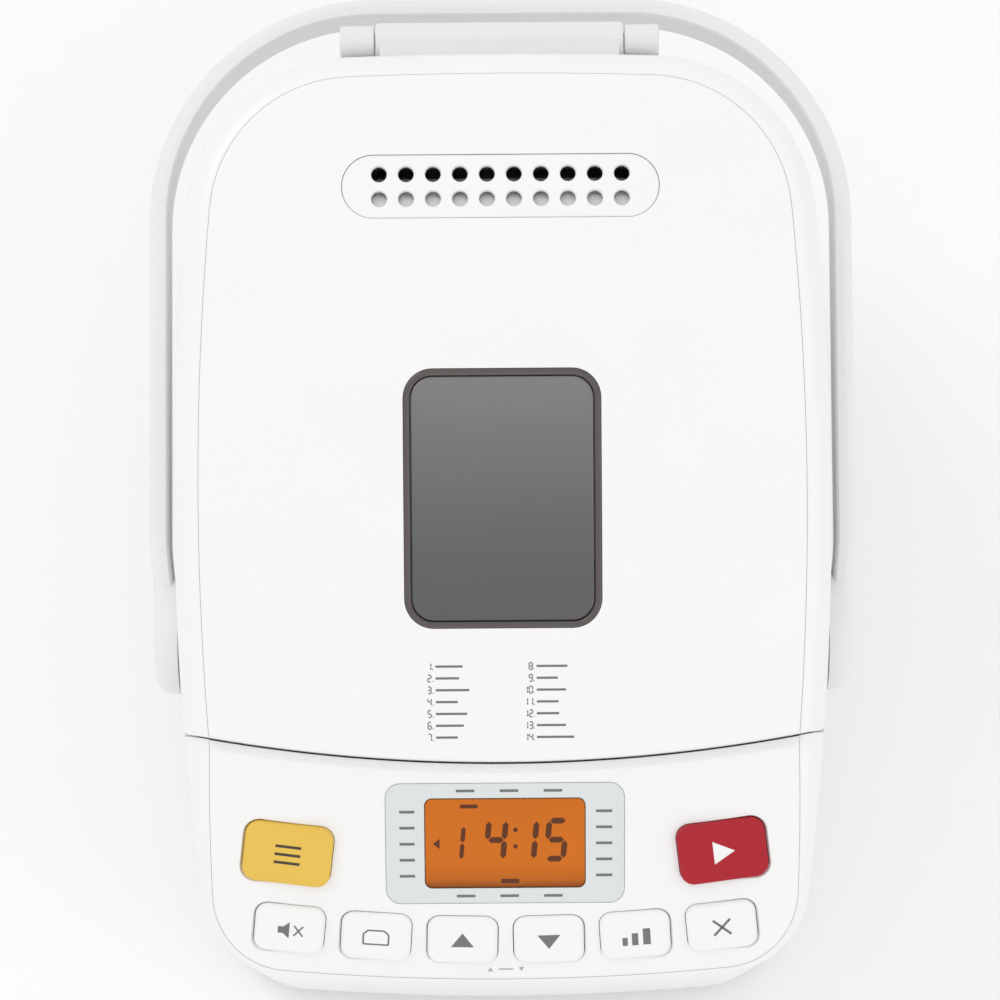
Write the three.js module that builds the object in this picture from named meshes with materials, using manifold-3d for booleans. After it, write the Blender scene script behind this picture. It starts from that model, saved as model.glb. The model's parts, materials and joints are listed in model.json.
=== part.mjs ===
// Bread machine: a tall cabinet with an oven and a driven bread pan inside, a hinged lid with a
// window and a steam vent, a sloping control panel, and a carry handle that swings over the lid.
// Millimetres, +Z up, front towards -Y, +X to the right of someone who faces the front.
// The origin is under the middle of the machine, on the surface that it stands on.
import * as THREE from 'three';
import { mergeVertices } from 'three/addons/utils/BufferGeometryUtils.js';
import Module from 'manifold-3d';

const wasm = await Module();
wasm.setup();

// ---- driving dimensions --------------------------------------------------------------------
const gap = 0.3;                 // between pieces that touch
const slip = 0.4;                // around pieces that slide or lift out
const above = 600;               // higher than any piece, where a cut ends

const cabinet = {
  halfWidth: 113.1, widestY: -15, sideRadius: 1117,
  frontY: -174.4, frontRadius: 950, frontCorner: 30,
  rearY: 142, rearRadius: 1500, rearCorner: 58,
  wall: 2.6, skirtZ: 5, draft: 0.8, rebate: 3.2, ledge: 2,
};
const crown = { height: 300, rearY: 133, rearSlope: 0.035, lidSlope: 0.287, panelSlope: 0.727, step: 4 };
const shoulder = { rear: 9, front: 1.2, narrowsAt: -92, rise: 1.45 };
const lid = {
  frontY: -100, frontRadius: 585, partingZ: crown.height - 54, partingSlope: 0.095,
  seam: 0.4, draft: 2.2, plate: 2.9, liner: 1.2, linerRise: 0.9, dish: 7.8,
};
const deck = { drop: 6, thickness: 2.4, rim: 4.2 };
const hinge = {
  y: cabinet.rearY + 6.8, z: crown.height - 25, knuckleR: 6.4, bracketR: 5.4, pinR: 2.5,
  halfLength: 42.8, bracketWidth: 12, legDrop: 34, legThickness: 4,
};
const handle = {
  y: -51.5, z: crown.height - 85, halfWidth: cabinet.halfWidth + 11.2, rearY: cabinet.rearY + 32.4,
  corner: 79.3, thickness: 7.1, width: 24, facet: 3.6, discR: 20.5, discOuter: cabinet.halfWidth + 9.4,
  discInner: cabinet.halfWidth + 0.8, pinR: 4.6, pinDepth: 7, headR: 9,
};
const pan = {
  width: 118, length: 170, corner: 20, wall: 1.6, floorZ: 74, rimZ: crown.height - 110, rim: 2, lip: 2,
  draft: 5, baseR: 30, baseWall: 3, shaftHoleR: 8.4,
};
const oven = {
  y: 18, width: pan.width + 42, length: pan.length + 38, corner: pan.corner + 6, sheet: 1.2,
  floorZ: 50, lip: 7,
};
const bail = { z: pan.rimZ - 7, reach: pan.width / 2 + 5, wireR: 2.1, bend: 12, earThickness: 3, offset: 4.5 };
const motorBay = { frontY: cabinet.frontY + cabinet.wall, rearY: oven.y - oven.length / 2 - oven.sheet };
const drive = {
  shaftR: 4, pulleyR: 44, motorPulleyR: 9, motorY: (motorBay.frontY + motorBay.rearY) / 2,
  motorR: 30, motorZ: 29, motorHeight: 66, beltZ: 13.8, beltWidth: 7.4, beltThickness: 1.6, flange: 2.5,
  couplingR: 12,
};
const element = { z: 64, tubeR: 3.25, wallGap: 9, corner: 24, gateHalf: 14, gateR: 6.5 };
const probe = { x: 45, z: 115, radius: 3, length: 15 };
const viewWindow = { y: -11.3, width: 67.6, length: 87.4, corner: 10, frame: 2.4 };
const vent = {
  y: cabinet.rearY - 47.8, width: 108.4, length: 21.6, holeR: 2.65, pitch: 9.2, rowGap: 8.4,
  columns: 10, rows: 2,
};
const display = {
  y: cabinet.frontY + 47.3, width: 82.4, length: 40.4, corner: 5, glassWidth: 55.7, glassLength: 30.4,
  glassCorner: 2.6, proud: 0.5,
};
const bigButton = { x: 75, width: 30.7, length: 22, corner: 5, y: cabinet.frontY + 39.4, arc: 583, proud: 1.6 };
const smallButton = {
  pitch: 30, width: 24.4, length: 18.4, corner: 4.5, y: cabinet.frontY + 14.6, arc: 650, proud: 1.4,
};
const buttonStem = 9;            // how far a key reaches below the panel
const buttonTravel = 1.2;
const keyBoard = {
  y: cabinet.frontY + 36.4, width: 176, length: 52, thickness: 1.6, depth: 21, rodR: 2.5, rodLength: 15,
};
const powerUnit = { x: 15 - cabinet.halfWidth, y: 10, z: 105, length: 110, height: 76, thickness: 2 };
const coolingSlot = { count: 7, x: -48, z: 62, width: 3, height: 28, pitch: 8 };
const foot = {
  radius: 11, height: 5.7, x: cabinet.halfWidth - 31.1, frontY: cabinet.frontY + 36.4,
  rearY: cabinet.rearY - 42,
};
const basePlate = { z: 6, thickness: 3 };
const gland = { x: 40, z: 32, boreR: 3.5, bodyR: 6.6, flangeR: 10 };

// ---- materials -----------------------------------------------------------------------------
const paint = (color, roughness, metalness = 0) =>
  new THREE.MeshStandardMaterial({ color, roughness, metalness });
const whiteGloss = paint(0xf4f4f3, 0.3);
const whiteMatt = paint(0xe9e9e8, 0.55);
const paleGrey = paint(0xdde0e0, 0.4);
const darkTrim = paint(0x2c2422, 0.4);
const smokedGlass = paint(0x6a6a6e, 0.1);
const amberGlass = paint(0xcc6c14, 0.25);
const yellowPlastic = paint(0xe5be55, 0.45);
const redPlastic = paint(0xaa1c2d, 0.4);
const steel = paint(0xb9bbbd, 0.35, 0.9);
const aluminium = paint(0xc8cacc, 0.5, 0.8);
const nonStick = paint(0x3a3b3d, 0.6, 0.2);
const blackPlastic = paint(0x222325, 0.6);
const rubber = paint(0x2b2b2c, 0.9);
const silicone = paint(0xc9c9c4, 0.8);
const boardGreen = paint(0x2f6b3c, 0.5);
const ceramic = paint(0xeae6da, 0.6);

// ---- solids --------------------------------------------------------------------------------
function solidOf(geometry) {
  const bare = new THREE.BufferGeometry();
  bare.setAttribute('position', geometry.getAttribute('position'));
  if (geometry.index) bare.setIndex(geometry.index);
  const merged = mergeVertices(bare, 1e-4);
  return new wasm.Manifold(new wasm.Mesh({
    numProp: 3,
    vertProperties: new Float32Array(merged.attributes.position.array),
    triVerts: new Uint32Array(merged.index.array),
  }));
}

function geometryOf(solid) {
  const { vertProperties, triVerts } = solid.getMesh();
  const geometry = new THREE.BufferGeometry();
  geometry.setAttribute('position', new THREE.BufferAttribute(vertProperties, 3));
  geometry.setIndex(new THREE.BufferAttribute(triVerts, 1));
  return geometry;
}

const join = (first, ...others) => others.reduce((sum, other) => sum.add(other), first);
const cut = (first, ...others) => others.reduce((rest, other) => rest.subtract(other), first);
const common = (first, ...others) => others.reduce((rest, other) => rest.intersect(other), first);

function box(width, length, height, x, y, z) {
  return solidOf(new THREE.BoxGeometry(width, length, height).translate(x, y, z));
}

// A lathe about Z from [radius, z] pairs. A profile that leaves the axis free is closed on itself.
function turned(profile, segments = 20) {
  const points = profile.map(([r, z]) => new THREE.Vector2(r, z));
  const onAxis = profile[0][0] === 0 && profile[profile.length - 1][0] === 0;
  if (!onAxis) points.push(points[0].clone());
  const geometry = new THREE.LatheGeometry(points, segments).rotateX(Math.PI / 2);
  const solid = solidOf(geometry);
  if (solid.volume() > 0) return solid;
  const reversed = new THREE.LatheGeometry(points.reverse(), segments).rotateX(Math.PI / 2);
  return solidOf(reversed);
}

function rod(radius, low, high, segments = 16) {
  return turned([[0, low], [radius, low], [radius, high], [0, high]], segments);
}

// Turns a solid made about Z so that it lies along X or Y.
const alongX = (solid) => solid.rotate([0, 90, 0]);
const alongY = (solid) => solid.rotate([-90, 0, 0]);

// ---- outlines: loops of points with normals, the right half mirrored to the left --------------
function arc(cx, cy, radius, from, to, steps, start = 0) {
  const points = [];
  for (let i = start; i <= steps; i++) {
    const a = from + (to - from) * i / steps;
    const nx = Math.cos(a);
    const ny = Math.sin(a);
    points.push({ x: cx + radius * nx, y: cy + radius * ny, nx, ny });
  }
  return points;
}

function mirrored(half) {
  const left = half.map(({ x, y, nx, ny }) => ({ x: -x, y, nx: -nx, ny }));
  return [...half, ...left.reverse()];
}

function roundedRect(width, length, corner, y = 0, sideSteps = 1, cornerSteps = 3) {
  const cx = width / 2 - corner;
  const cy = length / 2 - corner;
  const half = arc(cx, y - cy, corner, -Math.PI / 2, 0, cornerSteps);
  for (let i = 1; i < sideSteps; i++) {
    half.push({ x: width / 2, y: y - cy + 2 * cy * i / sideSteps, nx: 1, ny: 0 });
  }
  half.push(...arc(cx, y + cy, corner, 0, Math.PI / 2, cornerSteps));
  return mirrored(half);
}

// Centre of a fillet that touches two large circles from inside, at the end of least or most y.
function filletCentre(a, b, radius, rearmost) {
  const ra = a.r - radius;
  const rb = b.r - radius;
  const dx = b.x - a.x;
  const dy = b.y - a.y;
  const d = Math.hypot(dx, dy);
  const along = (ra * ra - rb * rb + d * d) / (2 * d);
  const aside = Math.sqrt(ra * ra - along * along);
  const middle = { x: a.x + dx * along / d, y: a.y + dy * along / d };
  const ends = [1, -1].map((s) => ({ x: middle.x - s * dy * aside / d, y: middle.y + s * dx * aside / d }));
  ends.sort((p, q) => p.y - q.y);
  return rearmost ? ends[1] : ends[0];
}

function cabinetOutline() {
  const front = { x: 0, y: cabinet.frontY + cabinet.frontRadius, r: cabinet.frontRadius };
  const side = { x: cabinet.halfWidth - cabinet.sideRadius, y: cabinet.widestY, r: cabinet.sideRadius };
  const rear = { x: 0, y: cabinet.rearY - cabinet.rearRadius, r: cabinet.rearRadius };
  const f = filletCentre(front, side, cabinet.frontCorner, false);
  const r = filletCentre(rear, side, cabinet.rearCorner, true);
  const angle = (from, to) => Math.atan2(to.y - from.y, to.x - from.x);
  return mirrored([
    ...arc(front.x, front.y, front.r, -Math.PI / 2, angle(front, f), 3, 0.5),
    ...arc(f.x, f.y, cabinet.frontCorner, angle(front, f), angle(side, f), 5),
    ...arc(side.x, side.y, side.r, angle(side, f), angle(side, r), 8, 1),
    ...arc(r.x, r.y, cabinet.rearCorner, angle(side, r), angle(rear, r), 6, 1),
    ...arc(rear.x, rear.y, rear.r, angle(rear, r), Math.PI / 2, 2, 0.5),
  ]);
}
const outline = cabinetOutline();

const valueAt = (value, y) => (typeof value === 'function' ? value(y) : value);

// One ring of a loft: the outline moved in by inset, at height z. Both may depend on y.
function ring(loop, inset, z) {
  return loop.map(({ x, y, nx, ny }) => {
    const by = valueAt(inset, y);
    const py = y - ny * by;
    return new THREE.Vector3(x - nx * by, py, valueAt(z, py));
  });
}

// A closed solid through rings of equal length, from the lowest to the highest.
function loft(...rings) {
  const n = rings[0].length;
  const index = [];
  for (let r = 0; r + 1 < rings.length; r++) {
    for (let i = 0; i < n; i++) {
      const j = (i + 1) % n;
      const a = r * n;
      const b = a + n;
      index.push(a + i, a + j, b + j, a + i, b + j, b + i);
    }
  }
  const top = (rings.length - 1) * n;
  for (let i = 0; i + 1 < n / 2; i++) {
    const left = n - 1 - i;
    index.push(i, left, left - 1, i, left - 1, i + 1);
    index.push(top + left, top + i, top + i + 1, top + left, top + i + 1, top + left - 1);
  }
  const geometry = new THREE.BufferGeometry().setFromPoints(rings.flat());
  geometry.setIndex(index);
  return solidOf(geometry);
}

const prism = (loop, low, high) => loft(ring(loop, 0, low), ring(loop, 0, high));

// ---- the cabinet's surfaces ----------------------------------------------------------------
function crownZ(y) {
  const { height, rearY, rearSlope, lidSlope, panelSlope } = crown;
  const lidBend = (lidSlope - rearSlope) / (2 * (rearY - lid.frontY));
  const lidTop = (t) => height - rearSlope * t - lidBend * t * t;
  if (y >= lid.frontY) return lidTop(rearY - y);
  const s = lid.frontY - y;
  const panelBend = (panelSlope - lidSlope) / (2 * (lid.frontY - cabinet.frontY));
  return lidTop(rearY - lid.frontY) - lidSlope * s - panelBend * s * s;
}
const panelZ = (y) => crownZ(y) - crown.step;
const waistZ = panelZ(cabinet.frontY) - 16;       // below this the walls are plain
const partingZ = (y) => lid.partingZ + lid.partingSlope * (y - lid.frontY);
const raised = (surface, by) => (y) => surface(y) + by;

function panelTilt(y) {
  return Math.atan((panelZ(y + 0.5) - panelZ(y - 0.5)));
}

function shoulderWidth(y) {
  const share = THREE.MathUtils.clamp((y - cabinet.frontY) / (shoulder.narrowsAt - cabinet.frontY), 0, 1);
  return THREE.MathUtils.lerp(shoulder.front, shoulder.rear, share);
}
const shoulderInset = (extra) => (y) => shoulderWidth(y) + extra;

// The whole cabinet as one solid block, with its rounded shoulder and the recess for the top plates.
function cabinetBlock(top) {
  const edge = 0.8;
  const { skirtZ, draft, rebate } = cabinet;
  const rings = [
    ring(outline, draft + 1.4, skirtZ), ring(outline, draft + 0.1, skirtZ + 1.2),
    ring(outline, draft, skirtZ + 4), ring(outline, 0, waistZ),
  ];
  const steps = 3;
  for (let i = 0; i <= steps; i++) {
    const a = Math.PI / 2 * i / steps;
    const loop = outline.map((p) => {
      const by = shoulderWidth(p.y) * (1 - Math.cos(a));
      const drop = (shoulder.rise * shoulderWidth(p.y) + 1) * (1 - Math.sin(a)) + edge;
      const py = p.y - p.ny * by;
      return new THREE.Vector3(p.x - p.nx * by, py, top(py) - drop);
    });
    rings.push(loop);
  }
  rings.push(ring(outline, shoulderWidth, raised(top, -rebate)));
  return loft(...rings);
}

// Everything behind the lid's front curve, moved forward by grow and leaning back by draft.
function behindLidFront(grow, low = () => -50, draft = 0) {
  const reach = 150;
  const radius = lid.frontRadius;
  const loop = (by) => {
    const r = radius + by;
    const half = arc(0, lid.frontY + radius, r, -Math.PI / 2, -Math.acos(reach / r), 7, 0.5);
    half.push({ x: reach + 1, y: lid.frontY + 60, nx: 0, ny: 0 }, { x: reach + 1, y: 330, nx: 0, ny: 0 });
    return mirrored(half);
  };
  return loft(ring(loop(grow - draft), 0, low), ring(loop(grow), 0, raised(low, 20)),
    ring(loop(grow), 0, above));
}

function innerSpace(inset, top) {
  return loft(ring(outline, inset + cabinet.draft, -1), ring(outline, inset + cabinet.draft, 30),
    ring(outline, inset, waistZ - 15), ring(outline, inset, top));
}

// ---- the model -----------------------------------------------------------------------------
const machine = new THREE.Group();

function add(name, shape, material, place = [0, 0, 0], turn = [0, 0, 0]) {
  const geometry = shape.isBufferGeometry ? shape : geometryOf(shape);
  const mesh = new THREE.Mesh(geometry, material);
  mesh.name = name;
  mesh.position.set(...place);
  mesh.rotation.set(...turn);
  machine.add(mesh);
  return mesh;
}
const sides = [['left', -1], ['right', 1]];

function bodyShell() {
  const { wall, rebate, ledge } = cabinet;
  const lidSpace = behindLidFront(lid.seam, raised(partingZ, -lid.seam));
  const deckRecess = common(
    loft(ring(outline, deck.rim, raised(partingZ, -deck.drop)), ring(outline, deck.rim, above)),
    behindLidFront(lid.seam));
  const consoleWall = lid.seam + wall;
  const under = innerSpace(wall, waistZ - 9);
  const underDeck = common(
    loft(ring(outline, wall, waistZ - 10), ring(outline, wall, raised(partingZ, -deck.drop - deck.thickness))),
    behindLidFront(consoleWall + 0.2));
  const consoleSpace = cut(
    loft(ring(outline, wall, waistZ - 10), ring(outline, wall, raised(panelZ, -rebate - 2))),
    behindLidFront(consoleWall));
  const panelOpening = cut(
    loft(ring(outline, shoulderInset(ledge), waistZ - 14), ring(outline, shoulderInset(ledge), above)),
    behindLidFront(consoleWall + ledge));
  const ovenOpening = prism(roundedRect(oven.width + 2 * oven.sheet + 2, oven.length + 2 * oven.sheet + 2,
    oven.corner + 2, oven.y), waistZ - 50, above);
  let shell = cut(cabinetBlock(panelZ), lidSpace, deckRecess, under, underDeck, consoleSpace, panelOpening,
    ovenOpening);
  const rearWallY = cabinet.rearY - wall / 2;
  shell = cut(shell, alongY(rod(gland.bodyR + gap, -6, 6)).translate([gland.x, rearWallY, gland.z]));
  for (const [, sign] of sides) {
    const pinHole = alongX(rod(handle.pinR + gap, -12, 12));
    shell = cut(shell, pinHole.translate([sign * cabinet.halfWidth, handle.y, handle.z]));
  }
  const { count, x, z, width, height, pitch } = coolingSlot;
  for (let i = 0; i < count; i++) {
    shell = cut(shell, box(width, 12, height, x + pitch * (i - (count - 1) / 2), rearWallY, z));
  }
  add('body_shell', shell, whiteGloss);
}

function base() {
  const low = basePlate.z;
  let plate = loft(ring(outline, cabinet.wall + cabinet.draft + slip, low),
    ring(outline, cabinet.wall + cabinet.draft + slip, low + basePlate.thickness));
  for (let i = -2; i <= 2; i++) {
    plate = cut(plate, box(44, 4, 12, 0, -60 + 12 * i, low));
  }
  add('base_plate', plate, whiteMatt);
  const { radius, height } = foot;
  const pad = turned([[0, 0], [radius - 1.5, 0], [radius, 1.5], [radius, height], [0, height]]);
  for (const [end, y] of [['front', foot.frontY], ['rear', foot.rearY]]) {
    for (const [side, sign] of sides) {
      add(`foot_${end}_${side}`, geometryOf(pad), rubber, [sign * foot.x, y, 0]);
    }
  }
  const neck = cabinet.wall / 2;
  const bush = turned([[gland.boreR, -neck - 3], [gland.bodyR, -neck - 3], [gland.bodyR, neck + slip],
    [gland.flangeR, neck + slip], [gland.flangeR - 2, neck + 4], [gland.boreR, neck + 4]], 24);
  add('cord_gland', alongY(bush), blackPlastic, [gland.x, cabinet.rearY - neck, gland.z]);
}

function lidShells() {
  const { wall, rebate } = cabinet;
  const lidSpace = behindLidFront(-lid.seam, raised(partingZ, lid.seam), lid.draft);
  const frontWall = lid.seam + lid.draft + wall;
  const hollow = common(
    loft(ring(outline, wall, waistZ - 20), ring(outline, wall, raised(crownZ, -rebate - 2))),
    behindLidFront(-frontWall));
  const opening = common(
    loft(ring(outline, shoulderInset(6), waistZ - 20), ring(outline, shoulderInset(6), above)),
    behindLidFront(-frontWall - 4));
  add('lid_frame', cut(common(cabinetBlock(crownZ), lidSpace), hollow, opening), whiteGloss);

  const plate = loft(ring(outline, shoulderInset(gap), raised(crownZ, -lid.plate)),
    ring(outline, shoulderInset(gap), raised(crownZ, -0.7)), ring(outline, shoulderInset(gap + 0.7), crownZ));
  const hole = (piece, corner) => prism(roundedRect(piece.width + 2 * slip, piece.length + 2 * slip,
    corner + slip, piece.y, 6), raised(crownZ, -12), raised(crownZ, 8));
  add('lid_cover', cut(common(plate, behindLidFront(-lid.seam)), hole(viewWindow, viewWindow.corner),
    hole(vent, vent.length / 2 - 0.1)), whiteGloss);
}

function lidLiner() {
  const edge = cabinet.wall + slip;
  const sheet = common(
    loft(ring(outline, edge, raised(partingZ, lid.linerRise)),
      ring(outline, edge, raised(partingZ, lid.linerRise + lid.liner))),
    behindLidFront(-(lid.seam + lid.draft + edge)));
  const rim = roundedRect(oven.width - 12, oven.length - 12, oven.corner, oven.y);
  const dishTop = lid.dish + lid.liner;
  const outside = loft(ring(rim, 0, raised(partingZ, 1.2)), ring(rim, 0, raised(partingZ, dishTop - 3)),
    ring(rim, 3, raised(partingZ, dishTop)));
  const inside = loft(ring(rim, lid.liner, raised(partingZ, -5)),
    ring(rim, lid.liner, raised(partingZ, dishTop - 3.5)),
    ring(rim, lid.liner + 3, raised(partingZ, lid.dish)));
  const sight = prism(roundedRect(viewWindow.width - 6, viewWindow.length - 6, 8, viewWindow.y), waistZ, above);
  const steam = prism(roundedRect(vent.width - 20, 7, 3.4, vent.y), waistZ, above);
  add('inner_lid_plate', cut(join(sheet, outside), inside, sight, steam), aluminium);
  const pane = roundedRect(viewWindow.width + 2, viewWindow.length + 2, viewWindow.corner, viewWindow.y);
  const onDish = raised(partingZ, dishTop + gap);
  add('window_inner', prism(pane, onDish, raised(onDish, 3)), smokedGlass);
  const ductLength = vent.length - 5;
  const duct = (shrink, low, high) => prism(roundedRect(vent.width - 8 - 2 * shrink, ductLength - 2 * shrink,
    ductLength / 2 - shrink - 0.1, vent.y), low, high);
  add('steam_duct', cut(duct(0, onDish, raised(crownZ, -lid.plate - 0.9)), duct(1.8, waistZ, above)),
    blackPlastic);
  const seal = (grow, bottom, top) => prism(roundedRect(oven.width + grow, oven.length + grow,
    oven.corner + grow / 2, oven.y), raised(partingZ, bottom), raised(partingZ, top));
  const sealLow = -deck.drop + gap + oven.sheet + 0.6;
  add('lid_seal', cut(seal(12, sealLow, lid.linerRise - gap), seal(2, -20, 20)), silicone);
}

function lidWindow() {
  const { width, length, corner, frame, y } = viewWindow;
  const shape = (inset, low, high) => prism(
    roundedRect(width - 2 * inset, length - 2 * inset, corner - inset, y, 6),
    raised(crownZ, low), raised(crownZ, high));
  add('window_bezel', cut(shape(0, -4.5, 0.2), shape(frame, -3, 4), shape(frame + 2, -9, 4)), darkTrim);
  add('window_outer', shape(frame + gap, -3 + gap, -0.4), smokedGlass);
}

function ventGrille() {
  const { width, length, y, holeR, pitch, rowGap, columns, rows } = vent;
  let plate = prism(roundedRect(width, length, length / 2 - 0.1, y, 2, 6), raised(crownZ, -lid.plate),
    raised(crownZ, -gap));
  for (let row = 0; row < rows; row++) {
    for (let i = 0; i < columns; i++) {
      const x = pitch * (i - (columns - 1) / 2);
      plate = cut(plate, rod(holeR, waistZ, above, 8).translate([x, y + rowGap * (row - (rows - 1) / 2), 0]));
    }
  }
  add('vent_grille', plate, whiteGloss);
}

function lidHinge() {
  const { y, z, knuckleR, bracketR, pinR, halfLength, bracketWidth, legDrop, legThickness } = hinge;
  const wallY = cabinet.rearY + slip;
  const barrel = (radius, half) => alongX(rod(radius, -half, half)).translate([0, y, z]);
  const bore = barrel(pinR + gap, 200);
  const web = box(2 * halfLength, y - wallY, 12, 0, (y + wallY) / 2, z + 1);
  add('lid_knuckle', cut(join(barrel(knuckleR, halfLength), web), bore), paleGrey);
  add('hinge_pin', alongX(rod(pinR, -halfLength - bracketWidth, halfLength + bracketWidth)), steel, [0, y, z]);
  const bracket = cut(join(
    alongX(rod(bracketR, -bracketWidth / 2, bracketWidth / 2)).translate([0, y, z]),
    box(bracketWidth, legThickness, legDrop, 0, wallY + 0.2 + legThickness / 2, z - 3 - legDrop / 2),
    box(bracketWidth, y - wallY - 0.4, 9, 0, (y + wallY) / 2 + 0.4, z - 8)), bore);
  for (const [side, sign] of sides) {
    const x = sign * (halfLength + gap + bracketWidth / 2);
    add(`hinge_bracket_${side}`, geometryOf(bracket), paleGrey, [x, 0, 0]);
  }
}

function carryHandle() {
  const {
    y, z, halfWidth, rearY, corner, thickness, width, facet, discR, discOuter, discInner, pinR, pinDepth, headR,
  } = handle;
  const half = [
    { x: halfWidth, y: y - 60, nx: 1, ny: 0 },
    ...arc(halfWidth - corner, rearY - corner, corner, 0, Math.PI / 2, 9),
  ];
  const loop = mirrored(half);
  const top = width / 2;
  const outside = loft(ring(loop, facet, z - top), ring(loop, 0, z - top + 5), ring(loop, 0, z + top - 5),
    ring(loop, facet, z + top));
  const inside = loft(ring(loop, thickness - 1.4, z - top - 0.5), ring(loop, thickness, z - top + 2),
    ring(loop, thickness, z + top - 2), ring(loop, thickness - 1.4, z + top + 0.5));
  const armEnd = y + discR - 4;
  const band = cut(outside, inside, box(400, 200, 80, 0, armEnd - 100, z));
  const bore = pinR + gap;
  const seat = discOuter - 2.2;
  const disc = turned([[bore, discInner], [discR, discInner], [discR, discOuter - 3], [discR - 1, discOuter - 1],
    [discR - 3, discOuter], [headR + slip, discOuter], [headR + slip, seat], [bore, seat]], 28);
  const right = alongX(disc).translate([0, y, z]);
  add('carry_handle', join(band, right, right.mirror([1, 0, 0])), whiteMatt);
  const inner = discInner - pinDepth;
  const pin = turned([[0, inner], [pinR, inner], [pinR, discOuter - 2], [headR, discOuter - 2],
    [headR, discOuter - 0.8], [headR - 1, discOuter - 0.2], [0, discOuter - 0.2]]);
  add('handle_pivot_right', alongX(pin), paleGrey, [0, y, z]);
  add('handle_pivot_left', alongX(pin).mirror([1, 0, 0]), paleGrey, [0, y, z]);
}

// ---- control panel ---------------------------------------------------------------------------
function buttonPlaces() {
  const places = [
    ['menu', bigButton, -bigButton.x, yellowPlastic],
    ['start', bigButton, bigButton.x, redPlastic],
  ];
  const small = ['quiet', 'crust', 'up', 'down', 'size', 'cancel'];
  small.forEach((name, i) => {
    places.push([name, smallButton, smallButton.pitch * (i - (small.length - 1) / 2), whiteGloss]);
  });
  return places.map(([name, kind, x, material]) => {
    const y = kind.y + kind.arc - Math.sqrt(kind.arc * kind.arc - x * x);
    return { name, kind, material, at: [x, y, panelZ(y)], turn: [panelTilt(y), 0, Math.asin(x / kind.arc)] };
  });
}

function placed(solid, at, turn) {
  const matrix = new THREE.Matrix4().compose(new THREE.Vector3(...at),
    new THREE.Quaternion().setFromEuler(new THREE.Euler(...turn)), new THREE.Vector3(1, 1, 1));
  return solidOf(geometryOf(solid).applyMatrix4(matrix));
}

function controlPanel() {
  let plate = cut(loft(ring(outline, shoulderInset(gap), raised(panelZ, -lid.plate)),
    ring(outline, shoulderInset(gap), raised(panelZ, -0.6)), ring(outline, shoulderInset(gap + 0.6), panelZ)),
  behindLidFront(lid.seam + gap));
  const { width, length, corner, y } = display;
  plate = cut(plate, prism(roundedRect(width + 2 * gap, length + 2 * gap, corner + gap, y, 4),
    raised(panelZ, -12), raised(panelZ, 8)));
  for (const { kind, at, turn } of buttonPlaces()) {
    const hole = prism(roundedRect(kind.width + 2 * slip, kind.length + 2 * slip, kind.corner + slip), -9, 6);
    plate = cut(plate, placed(hole, at, turn));
  }
  add('control_panel', plate, whiteGloss);
}

function buttons() {
  for (const { name, kind, material, at, turn } of buttonPlaces()) {
    const cap = roundedRect(kind.width, kind.length, kind.corner);
    const flange = roundedRect(kind.width + 3, kind.length - 3, 2);
    const shape = join(loft(ring(cap, 0, -4.6), ring(cap, 0, kind.proud - 0.7), ring(cap, 0.7, kind.proud)),
      prism(flange, -5.2, -3.8), box(7, 7, buttonStem - 5, 0, 0, -(buttonStem + 5) / 2));
    add(`button_${name}`, shape, material, at, turn);
  }
}

function displayUnit() {
  const { width, length, corner, glassWidth, glassLength, glassCorner, proud, y } = display;
  const shape = (w, l, r, low, high) =>
    prism(roundedRect(w, l, r, y, 4), raised(panelZ, low), raised(panelZ, high));
  add('display_bezel', cut(shape(width, length, corner, -lid.plate, proud),
    shape(glassWidth, glassLength, glassCorner, -1.9, 5),
    shape(glassWidth - 4, glassLength - 4, 2, -9, 5)), paleGrey);
  const pane = shape(glassWidth - 2 * gap, glassLength - 2 * gap, glassCorner, -1.9 + gap, proud - gap);
  add('display_window', pane, amberGlass);
  const block = prism(roundedRect(glassWidth + 6, glassLength + 4, 2), -12, -5.6);
  add('display_module', block, blackPlastic, [0, y, panelZ(y)], [panelTilt(y), 0, 0]);
}

// The board lies under the keys, with a switch rod below each key's stem.
function controlBoard() {
  const { y, width, length, thickness, depth, rodR, rodLength } = keyBoard;
  let board = placed(box(width, length, thickness, 0, 0, -depth), [0, y, panelZ(y)], [panelTilt(y), 0, 0]);
  const top = -buttonStem - buttonTravel - slip;
  for (const place of buttonPlaces()) {
    board = join(board, placed(rod(rodR, top - rodLength, top, 8), place.at, place.turn));
  }
  add('control_board', board, boardGreen);
}

// The board stands along the left wall, with a transformer, a relay, a capacitor and a heat sink.
function powerBoard() {
  const { x, y, z, length, height, thickness } = powerUnit;
  const transformer = box(10, 34, 30, x + 6, y - 30, z - 16);
  const relay = box(8, 20, 20, x + 5, y + 30, z - 14);
  const capacitor = alongX(rod(8, 0, 11)).translate([x, y + 30, z + 18]);
  const heatSink = box(5, 24, 14, x + 3, y - 26, z + 18);
  const board = box(thickness, length, height, x, y, z);
  add('power_board', join(board, transformer, relay, capacitor, heatSink), boardGreen);
}

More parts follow.
